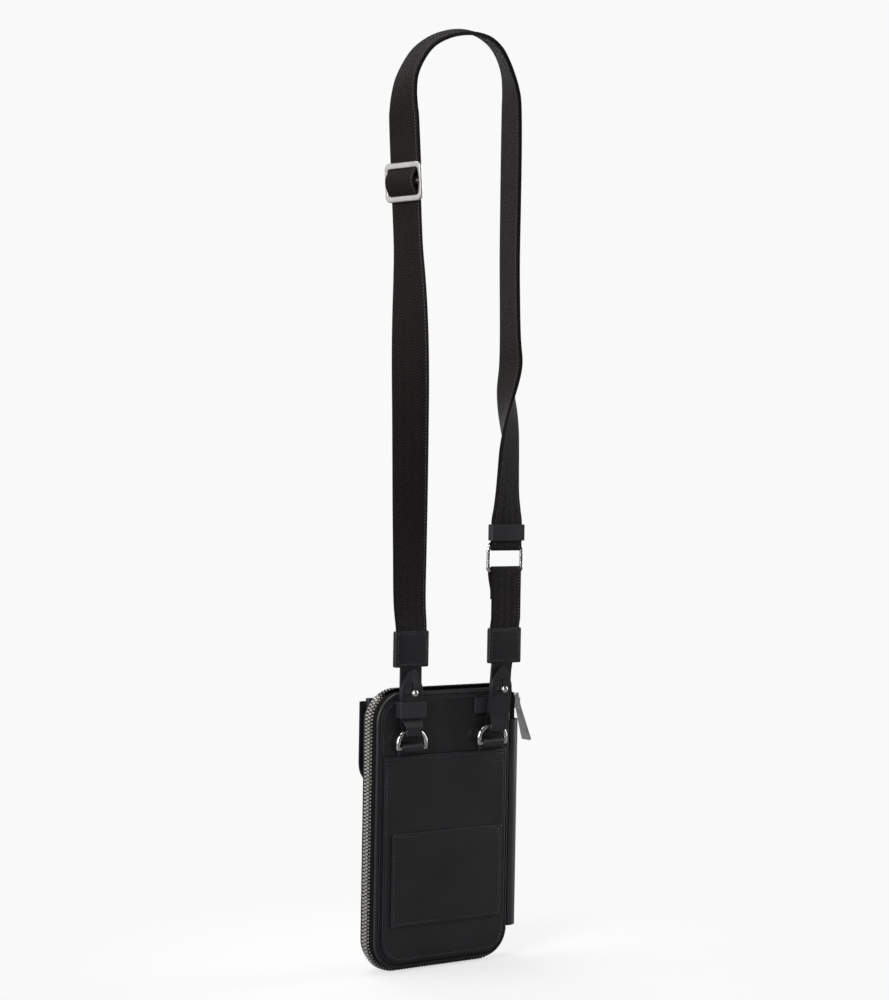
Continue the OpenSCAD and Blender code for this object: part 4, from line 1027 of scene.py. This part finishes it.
LINING_IN = 1.1
lining_box = (-PANEL_X + LINING_IN, PANEL_Z0 + LINING_IN, PANEL_X - LINING_IN, PANEL_Z1 - LINING_IN)
for side, out, body in (("back", -1, "pouch"), ("front", 1, "case_front")):
    cloth = leather_sheet(side + "_lining_cloth", lining_box, (PANEL_R - LINING_IN,) * 4, out * 6.4, 0.6,
                          -out, body,
                          [lining_cloth, lining_cloth], plain_relief(0.12))
    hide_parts(side + "_lining")
pocket_box = (-48.0, 10.15, 48.0, 122.15)
phone = leather_sheet("phone_pocket_leather", pocket_box, (5.0,) * 4, -5.75, 2.2, 1, "pouch",
                      [calf, edge_paint], pocket_relief(pocket_box, 2.0, 0.0, 0.1, 13.0))
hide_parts("phone_pocket")
SLOT_N, SLOT_H, SLOT_STEP, SLOT_T = 3, 54, 16, 0.4
for i in range(SLOT_N):
    top = PANEL_Z0 + 5 + SLOT_H + SLOT_STEP * i
    leather_sheet("card_slot_" + str(i + 1), (-47.9, 10.3, 47.9, top), (11.9, 11.9, 0.5, 0.5),
                               5.78 - SLOT_T * (SLOT_N - 1 - i), 0.38, -1, "case_front", [calf, edge_paint],
                               plain_relief(0.1))
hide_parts("card_slots")

# %% [markdown]
# ## Zip tape and spine
# The tape bends round every corner of the case and the spine is a half-round gusset with
# closed ends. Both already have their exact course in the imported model, so they are
# cleaned copies with eased edges and the right cloth and leather.

# %% Tape, spine and the flap's sewn strip
for node, body in (("back_tape", "pouch"), ("corner_tape", "pouch"), ("front_tape", "case_front")):
    eased_copy(node, node + "_cloth", body, tape, 0.12)
spine = eased_copy("spine", "spine_leather", "pouch", calf, 0.3)
anchor = eased_copy("flap_anchor", "flap_strip_leather", "case_front", calf, 0.4)

# %% [markdown]
# ## Front flap
# The flap is one leather sheet that hangs from its sewn strip over the front pocket, with
# a rounded lower edge and a row of stitches.

# %% Flap
FLAP_IN_Y, FLAP_ROW_Y = 13.4, 14.92
flap_box = (-55.0, 123.15, 55.0, 180.95)
flap_radii = (16.0, 16.0, 0.8, 0.8)
flap = leather_sheet("front_flap_leather", flap_box, flap_radii, FLAP_IN_Y, LEATHER_T, 1, "flap",
                     [calf, edge_paint], panel_relief(17.0))
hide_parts("front_flap")
flap_row = stitch_row("flap_stitches",
                      edge_route(flap_box, flap_radii, PANEL_SEAM, FLAP_ROW_Y, 1, ("b", "r", "l")),
                      STITCH_PITCH, "flap", thread)

# %% [markdown]
# ## End caps
# Each end of the webbing is sewn into a folded leather cap. The cap is thick in the
# middle, where the webbing is, and pinched at its stitched edges.


# %% Caps
CAP_HALF_W, CAP_LOW, CAP_FACE, CAP_SEAM = 13.65, 205.15, 2.1, 1.9


def cap_relief(d, x, z):
    return turned_edge(d, 0.5) + pressed_seam(d, CAP_SEAM, 0.22) - 0.35 * math.exp(-d / 1.6) + 0.12


for side, x in (("left", -31.5), ("right", CAP_RIGHT_X)):
    box = (x - CAP_HALF_W, CAP_LOW, x + CAP_HALF_W, CAP_TOP)
    cap = leather_sheet("end_cap_" + side, box, (1.2,) * 4, STRAP_Y, CAP_FACE, -1, "strap",
                        [strap_calf, edge_paint], cap_relief,
                        back_relief=lambda d, x, z: CAP_FACE + cap_relief(d, x, z), cell=2.5)
    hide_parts("strap_end_cap_" + side)
    rows = [stitch_row("end_cap_" + side + "_stitches_" + face,
                       edge_route(box, (1.2,) * 4, CAP_SEAM, STRAP_Y + out * CAP_FACE, out), STITCH_PITCH,
                       "strap", thread)
            for face, out in (("back", -1), ("front", 1))]

# %% [markdown]
# ## Strap tabs
# A tab is one strip of bridle leather. It comes down from the cap, folds round the D-ring
# and comes up in front to a pointed tip, which a ball stud holds through a keyhole slit.

# %% Tabs, ring tabs and keepers
for node, ease in (("strap_tab_left", 0.3), ("strap_tab_right", 0.3), ("strap_keeper", 0.4)):
    eased_copy(node, node + "_leather", "strap", strap_calf, ease)
for node, ease in (("keeper_left", 0.55), ("keeper_right", 0.5), ("ring_tab_left", 0.3),
                   ("ring_tab_right", 0.3)):
    eased_copy(node, node + "_leather", "pouch", strap_calf, ease)

# %% [markdown]
# ## Floor and light
# The photograph has a plain near-white ground with a faint shadow where the pouch touches
# it. The ground shows its white to the camera, keeps the shadow and fades out, so that no
# edge of it is seen. Of six soft lamps, one on each side stands in front, one hangs above,
# one stands behind, and two weak ones beside that are there for the metal to reflect.

# %% Ground and sky
FLOOR_Z = -HANG[2] / 1000 - 0.0003
ground_finish = bpy.data.materials.new("studio floor")
ground_finish.use_nodes = True
tree = ground_finish.node_tree
tree.nodes.clear()
white = colour("f9f9f9")
diffuse = add(ground_finish, "ShaderNodeBsdfDiffuse", {"Color": (0.3, 0.3, 0.31, 1)})
glow = add(ground_finish, "ShaderNodeEmission", {"Color": white, "Strength": 0.7})
black = add(ground_finish, "ShaderNodeEmission", {"Color": (0, 0, 0, 1), "Strength": 0.0})
ray = add(ground_finish, "ShaderNodeLightPath")
seen = add(ground_finish, "ShaderNodeMixShader",
           {0: ray.outputs["Is Camera Ray"], 1: black.outputs[0], 2: glow.outputs[0]})
both = add(ground_finish, "ShaderNodeAddShader", {0: diffuse.outputs[0], 1: seen.outputs[0]})
ground_place = add(ground_finish, "ShaderNodeTexCoord").outputs["Object"]
reach = add(ground_finish, "ShaderNodeVectorMath", {0: ground_place}, operation="LENGTH")
fade = add(ground_finish, "ShaderNodeMapRange",
           {"Value": reach.outputs["Value"], "From Min": 0.09, "From Max": 0.3},
           interpolation_type="SMOOTHSTEP")
unseen = add(ground_finish, "ShaderNodeMath", {0: fade.outputs["Result"], 1: ray.outputs["Is Camera Ray"]},
             operation="MULTIPLY")
clear = add(ground_finish, "ShaderNodeBsdfTransparent")
ground = add(ground_finish, "ShaderNodeMixShader",
             {0: unseen.outputs[0], 1: both.outputs[0], 2: clear.outputs[0]})
add(ground_finish, "ShaderNodeOutputMaterial", {"Surface": ground.outputs[0]})

bpy.ops.mesh.primitive_plane_add(size=12, location=(0, 0, FLOOR_Z))
floor = bpy.context.object
floor.name = "studio_floor"
floor.data.materials.append(ground_finish)

world = bpy.data.worlds.new("studio")
bpy.context.scene.world = world
world.use_nodes = True
world.node_tree.nodes.clear()
path = add(world, "ShaderNodeLightPath")
seen_sky = add(world, "ShaderNodeBackground", {"Color": white, "Strength": 1.0})
dome = add(world, "ShaderNodeBackground", {"Color": (0.95, 0.97, 1.0, 1), "Strength": 0.13})
sky = add(world, "ShaderNodeMixShader",
          {0: path.outputs["Is Camera Ray"], 1: dome.outputs[0], 2: seen_sky.outputs[0]})
add(world, "ShaderNodeOutputWorld", {"Surface": sky.outputs[0]})


# %% Lamps
def soft_lamp(name, place, aim, size, watts):
    data = bpy.data.lights.new(name, "AREA")
    data.shape = "RECTANGLE"
    data.size, data.size_y = size
    data.energy = watts
    lamp = bpy.data.objects.new(name, data)
    bpy.context.scene.collection.objects.link(lamp)
    lamp.location = place
    lamp.rotation_euler = (Vector(aim) - Vector(place)).to_track_quat("-Z", "Y").to_euler()


soft_lamp("key softbox", (-2.0, -1.0, 0.5), (0, 0, -0.35), (0.8, 1.8), 42)
soft_lamp("right softbox", (1.9, -0.3, 0.1), (0, 0, -0.35), (0.6, 1.6), 20)
soft_lamp("left backdrop", (-1.9, 1.1, 0.1), (0, 0, -0.3), (1.6, 2.0), 11)
soft_lamp("right backdrop", (2.0, 1.2, 0.0), (0, 0, -0.3), (1.2, 1.8), 7)
soft_lamp("top softbox", (-0.3, 0.5, 1.7), (0, 0, -0.3), (1.4, 0.8), 22)
soft_lamp("back softbox", (0.4, 1.9, 0.2), (0, 0, -0.3), (1.4, 1.4), 14)

bpy.context.scene.view_settings.view_transform = "Standard"
